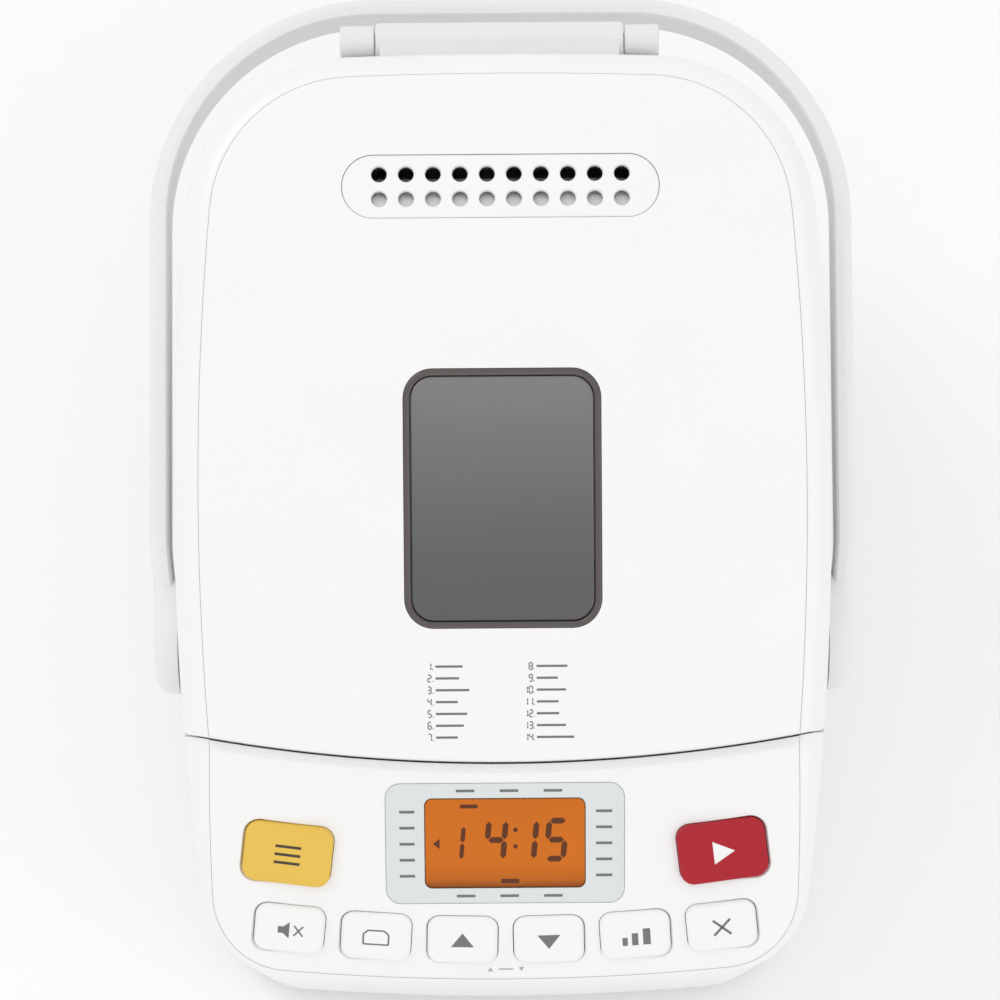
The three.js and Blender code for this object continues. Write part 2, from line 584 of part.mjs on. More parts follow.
// ---- oven ------------------------------------------------------------------------------------
function ovenChamber() {
  const { width, length, corner, sheet, floorZ, lip, y } = oven;
  const shape = (grow) => roundedRect(width + 2 * grow, length + 2 * grow, corner + grow, y);
  const flangeLow = raised(partingZ, -deck.drop + gap);
  const flangeHigh = raised(partingZ, -deck.drop + gap + sheet);
  let tub = cut(join(prism(shape(sheet), floorZ, flangeHigh), prism(shape(sheet + lip), flangeLow, flangeHigh)),
    prism(shape(0), floorZ + sheet, above), rod(drive.shaftR + 3, floorZ - 5, floorZ + 5).translate([0, y, 0]));
  const gates = [['front', -1], ['rear', 1]].map(([end, side]) =>
    [end, [-(width + sheet) / 2, y + side * element.gateHalf, element.z]]);
  for (const [, at] of gates) tub = cut(tub, alongX(rod(element.gateR + gap, -6, 6)).translate(at));
  const probeAt = [probe.x, y - (length + sheet) / 2, probe.z];
  tub = cut(tub, alongY(rod(probe.radius + gap, -6, 6)).translate(probeAt));
  add('oven_chamber', tub, aluminium);
  const bore = element.tubeR + gap;
  const collar = element.gateR + 2;
  const bush = turned([[bore, -4], [collar, -4], [collar, -1], [element.gateR, -1], [element.gateR, 2],
    [bore, 2]]);
  for (const [end, at] of gates) add(`element_bushing_${end}`, geometryOf(alongX(bush)), ceramic, at);
  const { radius, length: reach } = probe;
  const rodWithHead = turned([[0, -9], [radius + 2, -9], [radius + 2, -1], [radius, -1], [radius, reach - 1],
    [0, reach]], 16);
  add('temperature_probe', alongY(rodWithHead), steel, probeAt);
}

// The heater: a tube that enters through the left wall, runs round the pan and goes out again.
function heatingElement() {
  const { z, tubeR, wallGap, corner, gateHalf } = element;
  const x = oven.width / 2 - wallGap;
  const y = oven.length / 2 - wallGap;
  const outside = -oven.width / 2 - 14;
  const turnIn = 7;
  const at = (px, py, radius) => [new THREE.Vector3(px, oven.y + py, z), radius];
  add('heating_element', bentRod([at(outside, -gateHalf, 0), at(-x, -gateHalf, turnIn), at(-x, -y, corner),
    at(x, -y, corner), at(x, y, corner), at(-x, y, corner), at(-x, gateHalf, turnIn), at(outside, gateHalf, 0)],
  tubeR), steel);
}

// A bent rod: straight runs between corners, each corner rounded with its own radius.
class BentLine extends THREE.Curve {
  constructor(corners) {
    super();
    this.stations = [];
    corners.forEach(([point, radius], i) => {
      if (!radius) {
        this.stations.push(point);
        return;
      }
      const before = corners[i - 1][0].clone().sub(point).setLength(radius).add(point);
      const after = corners[i + 1][0].clone().sub(point).setLength(radius).add(point);
      const bend = new THREE.QuadraticBezierCurve3(before, point, after);
      this.stations.push(...bend.getPoints(4));
    });
  }

  getPoint(t) {
    return this.stations[Math.round(t * (this.stations.length - 1))].clone();
  }

  getPointAt(t) {
    return this.getPoint(t);
  }

  getTangentAt(t) {
    const i = Math.round(t * (this.stations.length - 1));
    const to = this.stations[Math.min(i + 1, this.stations.length - 1)];
    const from = this.stations[Math.max(i - 1, 0)];
    return to.clone().sub(from).normalize();
  }
}

function bentRod(corners, radius) {
  const path = new BentLine(corners);
  const section = new THREE.Shape();
  section.absarc(0, 0, radius, 0, 2 * Math.PI);
  const steps = path.stations.length - 1;
  const settings = { steps, extrudePath: path, curveSegments: 4, bevelEnabled: false };
  return solidOf(new THREE.ExtrudeGeometry(section, settings));
}

// ---- drive -----------------------------------------------------------------------------------
function driveTrain() {
  const {
    shaftR, pulleyR, motorPulleyR, motorY, motorR, motorZ, motorHeight, beltZ, beltWidth, beltThickness,
    flange, couplingR,
  } = drive;
  const axis = [0, oven.y, 0];
  const low = beltZ - 0.6;
  const high = beltZ + beltWidth + 0.6;
  const bore = shaftR + gap;
  add('drive_shaft', rod(shaftR, 10.5, 53.2), steel, axis);
  // A pulley's groove between its two flanges, from its lower face to its upper face.
  const groove = (radius) => [[radius + flange, low - 1.2], [radius + flange, low], [radius, low],
    [radius, high], [radius + flange, high], [radius + flange, high + 1.2]];
  add('drive_pulley', turned([[bore, low - 1.2], ...groove(pulleyR), [pulleyR - 4, high + 1.2],
    [pulleyR - 5, low + 3], [12, low + 3], [11, high + 4], [bore, high + 4]], 30), blackPlastic, axis);
  add('motor_pulley', turned([[0, low - 1.2], ...groove(motorPulleyR), [3, high + 1.2], [3, 38], [0, 38]], 20),
    blackPlastic, [0, motorY, 0]);
  const beltRing = (grow) => beltLoop(pulleyR + gap + grow, motorPulleyR + gap + grow);
  const beltOutside = prism(beltRing(beltThickness), beltZ, beltZ + beltWidth);
  add('drive_belt', cut(beltOutside, prism(beltRing(0), 0, 60)), rubber);
  add('shaft_bearing', turned([[bore + 0.1, 30], [12, 30], [13, 46.5], [22, 46.5], [22, oven.floorZ - gap],
    [bore + 0.1, oven.floorZ - gap]]), steel, axis);
  const dogs = (z) => [-1, 1].map((s) => box(6, 6, 4.2, 0, s * 8, z));
  add('drive_coupling', join(rod(couplingR, 53.5, 57.5), ...dogs(59.6)), steel, axis);
  const crossed = dogs(60.6).map((dog) => dog.rotate([0, 0, 90]));
  add('pan_coupling', join(rod(couplingR, 62.5, 66), ...crossed), steel, axis);
  const motorTop = motorZ + motorHeight;
  add('motor', turned([[0, 39], [3.6, 39], [3.6, motorZ], [motorR - 2, motorZ], [motorR, motorZ + 2],
    [motorR, motorTop - 3], [motorR - 3, motorTop], [0, motorTop]], 28), steel, [0, motorY, 0]);
  const span = motorR + 10;
  const baseTop = basePlate.z + basePlate.thickness + gap;
  const plateLow = motorZ - gap - 3;
  const legHeight = plateLow + 1 - baseTop;
  const top = box(2 * span, 2 * motorR, 3, 0, 0, plateLow + 1.5);
  const legs = [-1, 1].map((s) => box(3, 2 * motorR, legHeight, s * (span - 1.5), 0, baseTop + legHeight / 2));
  const feet = [-1, 1].map((s) => box(10, 2 * motorR, 2, s * (span + 3), 0, baseTop + 1));
  const bracket = cut(join(top, ...legs, ...feet), rod(8, 0, 60));
  add('motor_bracket', bracket, steel, [0, motorY, 0]);
}

// The belt's inside line round the two pulleys, as a mirrored loop. Each arc stops half a step short
// of the middle line, so the step across it is as long as the others.
function beltLoop(bigR, smallR) {
  const lean = Math.asin((bigR - smallR) / (oven.y - drive.motorY));
  const wrap = (y, radius, end, steps) =>
    arc(0, y, radius, -lean, -lean + (end + lean) * steps / (steps + 0.5), steps);
  const front = wrap(drive.motorY, smallR, -Math.PI / 2, 6).reverse();
  return mirrored([...front, ...wrap(oven.y, bigR, Math.PI / 2, 14)]);
}

// ---- bread pan -------------------------------------------------------------------------------
function breadPan() {
  const { width, length, corner, wall, floorZ, rimZ, rim, lip, draft, baseR, baseWall, shaftHoleR } = pan;
  const outside = roundedRect(width - 2 * lip, length - 2 * lip, corner - lip, oven.y);
  const flange = roundedRect(width, length, corner, oven.y);
  const body = join(loft(ring(outside, draft, floorZ), ring(outside, 0, rimZ + rim)),
    prism(flange, rimZ, rimZ + rim));
  const slope = draft / (rimZ - floorZ);
  const inside = loft(ring(outside, draft + wall - slope * 2, floorZ + 2),
    ring(outside, wall - slope * 2, rimZ + 2 + rim));
  const shaftHole = rod(shaftHoleR, floorZ - 4, floorZ + 6).translate([0, oven.y, 0]);
  add('bread_pan', cut(body, inside, shaftHole), nonStick);
  const axis = [0, oven.y, 0];
  const baseIn = baseR - baseWall;
  add('pan_base_ring', turned([[baseIn, 53], [baseR, 53], [baseR, floorZ - gap], [baseIn, floorZ - gap]], 28),
    aluminium, axis);
  const socketIn = baseR + slip + 0.3;
  const seat = oven.floorZ + oven.sheet + gap;
  const socketOut = socketIn + 4;
  const socketRim = socketIn + 11;
  add('pan_socket', turned([[socketIn, seat], [socketRim, seat], [socketRim, seat + 1.5],
    [socketOut, seat + 1.5], [socketOut, seat + 9], [socketIn, seat + 9]], 28), aluminium, axis);
  const shaftTop = floorZ + 18;
  add('pan_shaft', rod(drive.shaftR, 66.3, shaftTop), steel, axis);
  const sealIn = drive.shaftR + slip;
  add('pan_shaft_seal', turned([[sealIn, 70], [8, 70], [8, floorZ + 2.3], [11, floorZ + 2.3], [11, floorZ + 4],
    [6, floorZ + 7], [sealIn, floorZ + 7]], 24), silicone, axis);
  kneadingPaddle(axis, shaftTop, sealIn);
  for (const [end, sign] of [['front', -1], ['rear', 1]]) {
    const face = length / 2 - lip - draft * (rimZ - bail.z) / (rimZ - floorZ) + gap + 0.4;
    const ear = cut(box(16, bail.earThickness, 12, 0, face + bail.earThickness / 2, bail.z),
      alongY(rod(bail.wireR + slip, 0, 200, 16)).translate([0, 0, bail.z]));
    add(`pan_ear_${end}`, sign > 0 ? ear : ear.mirror([0, 1, 0]), steel, axis);
  }
}

function kneadingPaddle(axis, shaftTop, bore) {
  const base = pan.floorZ + 7.5;
  const top = shaftTop + 5;
  const hub = turned([[0, top], [6.5, top], [9, base], [bore, base], [bore, shaftTop + 0.5],
    [0, shaftTop + 0.5]], 24);
  const profile = new THREE.Shape();
  profile.moveTo(5, base + 0.2);
  profile.lineTo(44, base + 0.2);
  profile.quadraticCurveTo(48, base + 12, 34, top + 3);
  profile.quadraticCurveTo(16, top + 2, 5, top - 1);
  profile.closePath();
  const blade = new THREE.ExtrudeGeometry(profile, { depth: 3.2, bevelEnabled: false, curveSegments: 6 })
    .translate(0, 0, -1.6).rotateX(Math.PI / 2);
  const clear = rod(bore, base - 4, shaftTop + 0.5);
  add('kneading_paddle', cut(join(hub, solidOf(blade)), clear), nonStick, axis);
}

function panBail() {
  const { z, reach, wireR, bend, offset } = bail;
  const y = pan.length / 2 + offset;
  const tight = 3.2;
  const at = (px, py, radius) => [new THREE.Vector3(px, py, 0), radius];
  add('pan_bail', bentRod([at(0, -y + 5.6, 0), at(0, -y, tight), at(-reach, -y, bend), at(-reach, y, bend),
    at(0, y, tight), at(0, y - 5.6, 0)], wireR), steel, [0, oven.y, z]);
}

bodyShell();
base();
lidShells();
lidLiner();
lidWindow();
ventGrille();
lidHinge();
carryHandle();
controlPanel();
buttons();
displayUnit();
controlBoard();
powerBoard();
ovenChamber();
heatingElement();
driveTrain();
breadPan();
panBail();

export default machine;
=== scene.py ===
import json
import math
import random

import bpy
from mathutils import Euler, Matrix, Vector


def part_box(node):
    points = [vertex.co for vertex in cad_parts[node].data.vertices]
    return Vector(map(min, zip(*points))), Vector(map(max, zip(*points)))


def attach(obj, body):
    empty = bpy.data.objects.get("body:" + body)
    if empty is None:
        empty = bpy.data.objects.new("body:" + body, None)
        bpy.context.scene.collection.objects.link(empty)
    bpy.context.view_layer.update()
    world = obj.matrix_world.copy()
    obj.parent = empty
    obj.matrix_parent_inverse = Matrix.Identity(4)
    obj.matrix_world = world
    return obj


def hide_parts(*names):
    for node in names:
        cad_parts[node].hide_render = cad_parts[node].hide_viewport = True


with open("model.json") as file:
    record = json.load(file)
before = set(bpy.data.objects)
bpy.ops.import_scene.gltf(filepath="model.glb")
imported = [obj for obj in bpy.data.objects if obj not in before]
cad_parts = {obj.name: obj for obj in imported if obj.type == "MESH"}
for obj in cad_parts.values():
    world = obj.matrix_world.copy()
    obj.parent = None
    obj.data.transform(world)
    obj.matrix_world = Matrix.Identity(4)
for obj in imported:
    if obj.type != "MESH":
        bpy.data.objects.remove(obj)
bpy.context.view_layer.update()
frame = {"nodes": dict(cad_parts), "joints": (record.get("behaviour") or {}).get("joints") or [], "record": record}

# The looks of a white bread machine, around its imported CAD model. Lengths below are millimetres, turned
# into metres where a mesh is made. Overall sizes and places come from the frame; radii, walls and slopes,
# which a box can't give, are named here with the CAD model's values.
MM = 0.001


def extent(node):
    """A CAD node's lowest and highest corners, in millimetres."""
    low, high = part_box(node)
    return Vector(low) / MM, Vector(high) / MM


# ---- sizes that the frame gives ---------------------------------------------------------------
shell_low, shell_high = extent("body_shell")
cover_high = extent("lid_cover")[1]
pan_low, pan_high = extent("bread_pan")
oven_low, oven_high = extent("oven_chamber")
glass_low, glass_high = extent("window_bezel")
vent_low, vent_high = extent("vent_grille")
bezel_low, bezel_high = extent("display_bezel")
handle_high = extent("carry_handle")[1]
knuckle_high = extent("lid_knuckle")[1]
bracket_low, bracket_high = extent("hinge_bracket_right")
joint_named = {joint["name"]: joint for joint in frame["joints"]}

HALF_WIDTH = shell_high.x
FRONT_Y = shell_low.y
REAR_Y = shell_high.y
CROWN_Z = cover_high.z
WALL = 2.6
GAP = 0.3
SLIP = 0.4
REBATE = 3.2
PLATE = 2.9
DRAFT = 0.8
SKIRT_Z = shell_low.z
STEP = 4
SEAM = 0.4
LINE = 0.1             # visible line between two fixed panels
KEY_GAP = 0.22         # visible line round a key
LID_LINE = 0.2         # half the visible seam in front of the lid
STRIP = 3.3            # sloping strip in front of the seam
WIDEST_Y = -15
SIDE_R, FRONT_R, REAR_R = 1117, 950, 1500
FRONT_CORNER, REAR_CORNER = 30, 58
LID_Y, LID_R = -100, 585
PARTING_Z, PARTING_SLOPE = CROWN_Z - 54, 0.095
CROWN_REAR_Y = REAR_Y - 9
REAR_SLOPE, LID_SLOPE, PANEL_SLOPE = 0.035, 0.287, 0.727
SHOULDER_REAR, SHOULDER_FRONT, SHOULDER_FROM = 9, 1.2, -92
DECK_DROP, DECK_THICK, DECK_RIM = 6, 2.4, 4.2
ABOVE = 600
LID_DRAFT = 2.2
SHEET = 1.2            # pressed sheet of the oven and the lid's liner
OVEN_LIP = 7
OVEN_WIDTH = oven_high.x - oven_low.x - 2 * (OVEN_LIP + SHEET)
OVEN_LENGTH = oven_high.y - oven_low.y - 2 * (OVEN_LIP + SHEET)
OVEN_Y = (oven_low.y + oven_high.y) / 2
ELEMENT_GATE = 14      # half the distance between the heater's two ends
PIN_HOLE_R = 2.8
HANDLE_HOLE_R = 4.9
BENDS = (0.4, 0.8, 1.2, 1.57)


# ---- outlines ---------------------------------------------------------------------------------
def arc(cx, cy, radius, start, end, steps, first=0.0):
    points = []
    i = first
    while i <= steps:
        a = start + (end - start) * i / steps
        points.append((cx + radius * math.cos(a), cy + radius * math.sin(a), math.cos(a), math.sin(a)))
        i += 1
    return points


def mirrored(half):
    return half + [(-x, y, -nx, ny) for x, y, nx, ny in reversed(half)]


def rounded_rect(width, length, corner, y=0.0, side_steps=1, corner_steps=10):
    cx, cy = width / 2 - corner, length / 2 - corner
    half = arc(cx, y - cy, corner, -math.pi / 2, 0, corner_steps)
    half += [(width / 2, y - cy + 2 * cy * i / side_steps, 1, 0) for i in range(1, side_steps)]
    half += arc(cx, y + cy, corner, 0, math.pi / 2, corner_steps)
    return mirrored(half)


def fillet_centre(a, b, radius, rearmost):
    """Centre of a fillet that touches two large circles (x, y, radius) from inside."""
    ra, rb = a[2] - radius, b[2] - radius
    dx, dy = b[0] - a[0], b[1] - a[1]
    d = math.hypot(dx, dy)
    along = (ra * ra - rb * rb + d * d) / (2 * d)
    aside = math.sqrt(ra * ra - along * along)
    mx, my = a[0] + dx * along / d, a[1] + dy * along / d
    ends = sorted(((mx - s * dy * aside / d, my + s * dx * aside / d) for s in (1, -1)), key=lambda p: p[1])
    return ends[-1] if rearmost else ends[0]


def cabinet_outline():
    front = (0, FRONT_Y + FRONT_R, FRONT_R)
    side = (HALF_WIDTH - SIDE_R, WIDEST_Y, SIDE_R)
    rear = (0, REAR_Y - REAR_R, REAR_R)
    f = fillet_centre(front, side, FRONT_CORNER, False)
    r = fillet_centre(rear, side, REAR_CORNER, True)

    def angle(a, b):
        return math.atan2(b[1] - a[1], b[0] - a[0])
    return mirrored(
        arc(*front, -math.pi / 2, angle(front, f), 12, 0.5)
        + arc(*f, FRONT_CORNER, angle(front, f), angle(side, f), 14)
        + arc(*side, angle(side, f), angle(side, r), 34, 1)
        + arc(*r, REAR_CORNER, angle(side, r), angle(rear, r), 18, 1)
        + arc(*rear, angle(rear, r), math.pi / 2, 8, 0.5))


OUTLINE = cabinet_outline()


# ---- surfaces ---------------------------------------------------------------------------------
def crown_z(y):
    bend = (LID_SLOPE - REAR_SLOPE) / (2 * (CROWN_REAR_Y - LID_Y))

    def lid_top(t):
        return CROWN_Z - REAR_SLOPE * t - bend * t * t
    if y >= LID_Y:
        return lid_top(CROWN_REAR_Y - y)
    s = LID_Y - y
    panel_bend = (PANEL_SLOPE - LID_SLOPE) / (2 * (LID_Y - FRONT_Y))
    return lid_top(CROWN_REAR_Y - LID_Y) - LID_SLOPE * s - panel_bend * s * s


def panel_z(y):
    return crown_z(y) - STEP


def parting_z(y):
    return PARTING_Z + PARTING_SLOPE * (y - LID_Y)


WAIST_Z = panel_z(FRONT_Y) - 16


def raised(surface, by):
    return lambda y: surface(y) + by


def panel_tilt(y):
    return math.atan(panel_z(y + 0.5) - panel_z(y - 0.5))


def shoulder(y):
    share = min(max((y - FRONT_Y) / (SHOULDER_FROM - FRONT_Y), 0), 1)
    return SHOULDER_FRONT + (SHOULDER_REAR - SHOULDER_FRONT) * share


def shoulder_inset(extra):
    return lambda y: shoulder(y) + extra


# ---- meshes -----------------------------------------------------------------------------------
def value_at(value, y):
    return value(y) if callable(value) else value


def ring(loop, inset, z):
    points = []
    for x, y, nx, ny in loop:
        by = value_at(inset, y)
        py = y - ny * by
        points.append((x - nx * by, py, value_at(z, py)))
    return points


def new_object(name, points, faces):
    mesh = bpy.data.meshes.new(name)
    mesh.from_pydata([(x * MM, y * MM, z * MM) for x, y, z in points], [], faces)
    mesh.update()
    obj = bpy.data.objects.new(name, mesh)
    bpy.context.scene.collection.objects.link(obj)
    return obj


def loft(name, *rings):
    """A closed solid through mirrored rings of equal length, from the lowest to the highest."""
    n = len(rings[0])
    faces = []
    for r in range(len(rings) - 1):
        a, b = r * n, (r + 1) * n
        faces += [(a + i, a + (i + 1) % n, b + (i + 1) % n, b + i) for i in range(n)]
    top = (len(rings) - 1) * n
    for i in range(n // 2 - 1):
        left = n - 1 - i
        faces.append((i, left, left - 1, i + 1))
        faces.append((top + left, top + i, top + i + 1, top + left - 1))
    return new_object(name, [p for one in rings for p in one], faces)


def prism(name, loop, low, high):
    return loft(name, ring(loop, 0, low), ring(loop, 0, high))


def stacked(name, loop, surface, *steps):
    """A closed solid over a surface, one ring for each (inset, rise)."""
    return loft(name, *[ring(loop, inset, raised(surface, rise)) for inset, rise in steps])


def turned(name, profile, steps=64, closed=False):
    """A lathe about Z. The profile runs from axis to axis, or closes on itself."""
    points, faces, rows = [], [], []
    for r, z in profile:
        if r < 1e-6:
            rows.append([len(points)])
            points.append((0, 0, z))
        else:
            rows.append(list(range(len(points), len(points) + steps)))
            points += [(r * math.cos(2 * math.pi * i / steps), r * math.sin(2 * math.pi * i / steps), z)
                       for i in range(steps)]
    pairs = list(zip(rows, rows[1:])) + ([(rows[-1], rows[0])] if closed else [])
    for a, b in pairs:
        for i in range(steps):
            j = (i + 1) % steps
            corners = [a[i % len(a)], a[j % len(a)], b[j % len(b)], b[i % len(b)]]
            unique = list(dict.fromkeys(corners))
            if len(unique) > 2:
                faces.append(unique)
    obj = new_object(name, points, faces)
    face_out(obj)
    return obj


def rod(radius, low, high, steps=40):
    """A round tool along Z."""
    return turned("tool", [(0, low), (radius, low), (radius, high), (0, high)], steps)


def face_out(obj):
    bpy.context.view_layer.objects.active = obj
    with bpy.context.temp_override(active_object=obj, object=obj, selected_objects=[obj]):
        bpy.ops.object.mode_set(mode="EDIT")
        bpy.ops.mesh.select_all(action="SELECT")
        bpy.ops.mesh.normals_make_consistent(inside=False)
        bpy.ops.object.mode_set(mode="OBJECT")


def bake(obj):
    """Applies an object's modifiers."""
    graph = bpy.context.evaluated_depsgraph_get()
    mesh = bpy.data.meshes.new_from_object(obj.evaluated_get(graph))
    obj.modifiers.clear()
    old = obj.data
    obj.data = mesh
    bpy.data.meshes.remove(old)
    return obj


def boolean(obj, tools, operation="DIFFERENCE"):
    for tool in tools:
        change = obj.modifiers.new(operation.lower(), "BOOLEAN")
        change.operation = operation
        change.solver = "EXACT"
        change.object = tool
    bake(obj)
    for tool in tools:
        bpy.data.objects.remove(tool)
    return obj


def cut(obj, *tools):
    return boolean(obj, tools)


def common(obj, *tools):
    return boolean(obj, tools, "INTERSECT")


def union(obj, *tools):
    return boolean(obj, tools, "UNION")


def soften(obj, width, angle=40, segments=2):
    edge = obj.modifiers.new("edge", "BEVEL")
    edge.width = width * MM
    edge.segments = segments
    edge.limit_method = "ANGLE"
    edge.angle_limit = math.radians(angle)
    edge.use_clamp_overlap = True
    return bake(obj)


def move(obj, location=(0, 0, 0), rotation=(0, 0, 0)):
    """Moves the mesh itself, so that the object stays at the origin."""
    place = Matrix.Translation(Vector(location) * MM) @ Euler(rotation).to_matrix().to_4x4()
    obj.data.transform(place)
    return obj


def dress(obj, body, material, replaces=(), angle=34):
    """Smooth shading with sharp creases, a material, and its place in the model."""
    obj.data.materials.clear()
    obj.data.materials.append(material)
    for face in obj.data.polygons:
        face.use_smooth = True
        face.material_index = 0
    obj.data.set_sharp_from_angle(angle=math.radians(angle))
    even = obj.modifiers.new("even_shading", "WEIGHTED_NORMAL")
    even.keep_sharp = True
    even.weight = 80
    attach(obj, body)
    if replaces:
        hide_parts(*replaces)
    return obj


# ---- materials --------------------------------------------------------------------------------
def moulded(name, color, roughness, grain=900, depth=0.02, metallic=0.0, coat=0.0, vary=0.06,
            tint=0.03, stretch=(1, 1, 1), blotch=28):
    """A surface with fine relief, slight colour drift and uneven gloss."""
    material = bpy.data.materials.new(name)
    material.use_nodes = True
    nodes, links = material.node_tree.nodes, material.node_tree.links
    shader = nodes["Principled BSDF"]
    shader.inputs["Metallic"].default_value = metallic
    shader.inputs["Coat Weight"].default_value = coat
    shader.inputs["Coat Roughness"].default_value = 0.08
    place = nodes.new("ShaderNodeTexCoord")
    scale = nodes.new("ShaderNodeMapping")
    scale.inputs["Scale"].default_value = stretch
    links.new(place.outputs["Object"], scale.inputs["Vector"])
    fine = nodes.new("ShaderNodeTexNoise")
    fine.inputs["Scale"].default_value = grain
    fine.inputs["Detail"].default_value = 3
    links.new(scale.outputs["Vector"], fine.inputs["Vector"])
    broad = nodes.new("ShaderNodeTexNoise")
    broad.inputs["Scale"].default_value = blotch
    broad.inputs["Detail"].default_value = 1
    links.new(scale.outputs["Vector"], broad.inputs["Vector"])
    gloss = nodes.new("ShaderNodeMapRange")
    gloss.inputs["To Min"].default_value = max(roughness - vary, 0.02)
    gloss.inputs["To Max"].default_value = roughness + vary
    links.new(broad.outputs["Fac"], gloss.inputs["Value"])
    links.new(gloss.outputs["Result"], shader.inputs["Roughness"])
    shade = nodes.new("ShaderNodeMix")
    shade.data_type = "RGBA"
    shade.inputs[6].default_value = [c * (1 - tint) for c in color] + [1]
    shade.inputs[7].default_value = [min(c * (1 + tint), 1) for c in color] + [1]
    links.new(broad.outputs["Fac"], shade.inputs[0])
    links.new(shade.outputs[2], shader.inputs["Base Color"])
    bump = nodes.new("ShaderNodeBump")
    bump.inputs["Strength"].default_value = 0.5
    bump.inputs["Distance"].default_value = depth * MM
    links.new(fine.outputs["Fac"], bump.inputs["Height"])
    links.new(bump.outputs["Normal"], shader.inputs["Normal"])
    return material


def glass_like(name, color, roughness, transmission, alpha=1.0):
    material = moulded(name, color, roughness, grain=60, depth=0.01, vary=0.02, tint=0.05, coat=0.6)
    shader = material.node_tree.nodes["Principled BSDF"]
    shader.inputs["Transmission Weight"].default_value = transmission
    shader.inputs["Alpha"].default_value = alpha
    return material


white = moulded("white_gloss_moulding", (0.86, 0.86, 0.855), 0.37, coat=0.25, vary=0.05, tint=0.008)
white_satin = moulded("white_satin_moulding", (0.8, 0.8, 0.8), 0.42, grain=1400, depth=0.03, tint=0.01)
pale_grey = moulded("pale_grey_moulding", (0.68, 0.71, 0.715), 0.38, tint=0.015)
dark_trim = moulded("dark_trim", (0.035, 0.025, 0.022), 0.38, tint=0.1)
yellow = moulded("yellow_key", (0.77, 0.50, 0.085), 0.42, grain=1600, depth=0.03, tint=0.03)
red = moulded("crimson_key", (0.40, 0.012, 0.024), 0.4, grain=1600, depth=0.03, tint=0.05)
black = moulded("black_moulding", (0.02, 0.02, 0.022), 0.5, tint=0.1)
rubber = moulded("foot_rubber", (0.03, 0.03, 0.031), 0.8, grain=2200, depth=0.05, tint=0.15)
silicone = moulded("silicone", (0.55, 0.55, 0.52), 0.65, grain=1200, depth=0.03)
steel = moulded("bright_steel", (0.6, 0.61, 0.62), 0.34, vary=0.05, grain=500, depth=0.015, metallic=1,
                stretch=(1, 1, 14))
aluminium = moulded("satin_sheet", (0.68, 0.69, 0.7), 0.42, grain=420, depth=0.03, metallic=0.6,
                    vary=0.08, stretch=(9, 1, 1))
non_stick = moulded("non_stick_coating", (0.06, 0.061, 0.065), 0.42, grain=2600, depth=0.06, metallic=0.3,
                    tint=0.25)
ceramic = moulded("ceramic", (0.8, 0.78, 0.7), 0.4, tint=0.03)
board = moulded("circuit_board", (0.03, 0.16, 0.06), 0.4, grain=240, depth=0.05, tint=0.25, blotch=260)
ink = moulded("grey_print", (0.16, 0.16, 0.17), 0.6, tint=0.05)
ink_light = moulded("light_grey_print", (0.42, 0.43, 0.44), 0.6, tint=0.03)
ink_white = moulded("white_print", (0.85, 0.85, 0.84), 0.5, tint=0.01)
lcd_ink = moulded("display_segments", (0.11, 0.03, 0.008), 0.5, tint=0.1)
hinge_white = moulded("hinge_moulding", (0.78, 0.78, 0.775), 0.4, tint=0.012)
ink_dark = moulded("dark_print", (0.05, 0.035, 0.025), 0.55, tint=0.08)
frame_gloss = moulded("dark_gloss_trim", (0.06, 0.045, 0.043), 0.16, grain=500, depth=0.008, coat=0.8,
                      vary=0.04, tint=0.12)
smoked = glass_like("smoked_glass", (0.25, 0.25, 0.26), 0.06, 0.3)


def paint_light_along_y(material, stops, start, end):
    """Paints light and shade into a surface's colour: multiplies it along Y, from start to end in millimetres."""
    nodes, links = material.node_tree.nodes, material.node_tree.links
    shader = nodes["Principled BSDF"]
    source = shader.inputs["Base Color"].links[0].from_socket
    place = nodes.new("ShaderNodeTexCoord")
    split = nodes.new("ShaderNodeSeparateXYZ")
    links.new(place.outputs["Object"], split.inputs["Vector"])
    span = nodes.new("ShaderNodeMapRange")
    span.inputs["From Min"].default_value = start * MM
    span.inputs["From Max"].default_value = end * MM
    links.new(split.outputs["Y"], span.inputs["Value"])
    ramp = nodes.new("ShaderNodeValToRGB")
    ramp.color_ramp.interpolation = "B_SPLINE"
    while len(ramp.color_ramp.elements) < len(stops):
        ramp.color_ramp.elements.new(0.5)
    for element, (at, shade) in zip(ramp.color_ramp.elements, stops):
        element.position = at
        element.color = (shade, shade, shade, 1)
    links.new(span.outputs["Result"], ramp.inputs["Fac"])
    blend = nodes.new("ShaderNodeMix")
    blend.data_type = "RGBA"
    blend.blend_type = "MULTIPLY"
    blend.inputs[0].default_value = 1
    links.new(source, blend.inputs[6])
    links.new(ramp.outputs["Color"], blend.inputs[7])
    links.new(blend.outputs[2], shader.inputs["Base Color"])
    return material


amber = moulded("amber_display", (0.62, 0.15, 0.004), 0.36, grain=700, depth=0.01, tint=0.06)
# Painted shade: the amber pane darkens towards its lower edge, where the bezel's recess shades it, and has a
# painted lighter middle.
paint_light_along_y(amber, [(0.0, 0.25), (0.09, 0.8), (0.3, 1.0), (1.0, 0.92)], bezel_low.y + 5, bezel_low.y + 35.4)
# Painted light and shade: the smoked glass is darker at its front and brighter towards its rear.
paint_light_along_y(smoked, [(0.0, 0.38), (0.35, 0.45), (0.75, 0.8), (1.0, 1.0)], glass_low.y, glass_high.y)
for bright in (amber, yellow, red, lcd_ink):
    bright.node_tree.nodes["Principled BSDF"].inputs["Specular IOR Level"].default_value = 0.25

SLOT_MATERIAL = {
    "white_gloss": white, "white_satin": white_satin, "pale_grey": pale_grey, "dark_trim": dark_trim,
    "smoked_glass": smoked, "amber_display": amber, "yellow_plastic": yellow, "red_plastic": red,
    "steel": steel, "aluminium": aluminium, "non_stick": non_stick, "black_plastic": black,
    "rubber": rubber, "silicone": silicone, "circuit_board": board, "ceramic": ceramic,
}


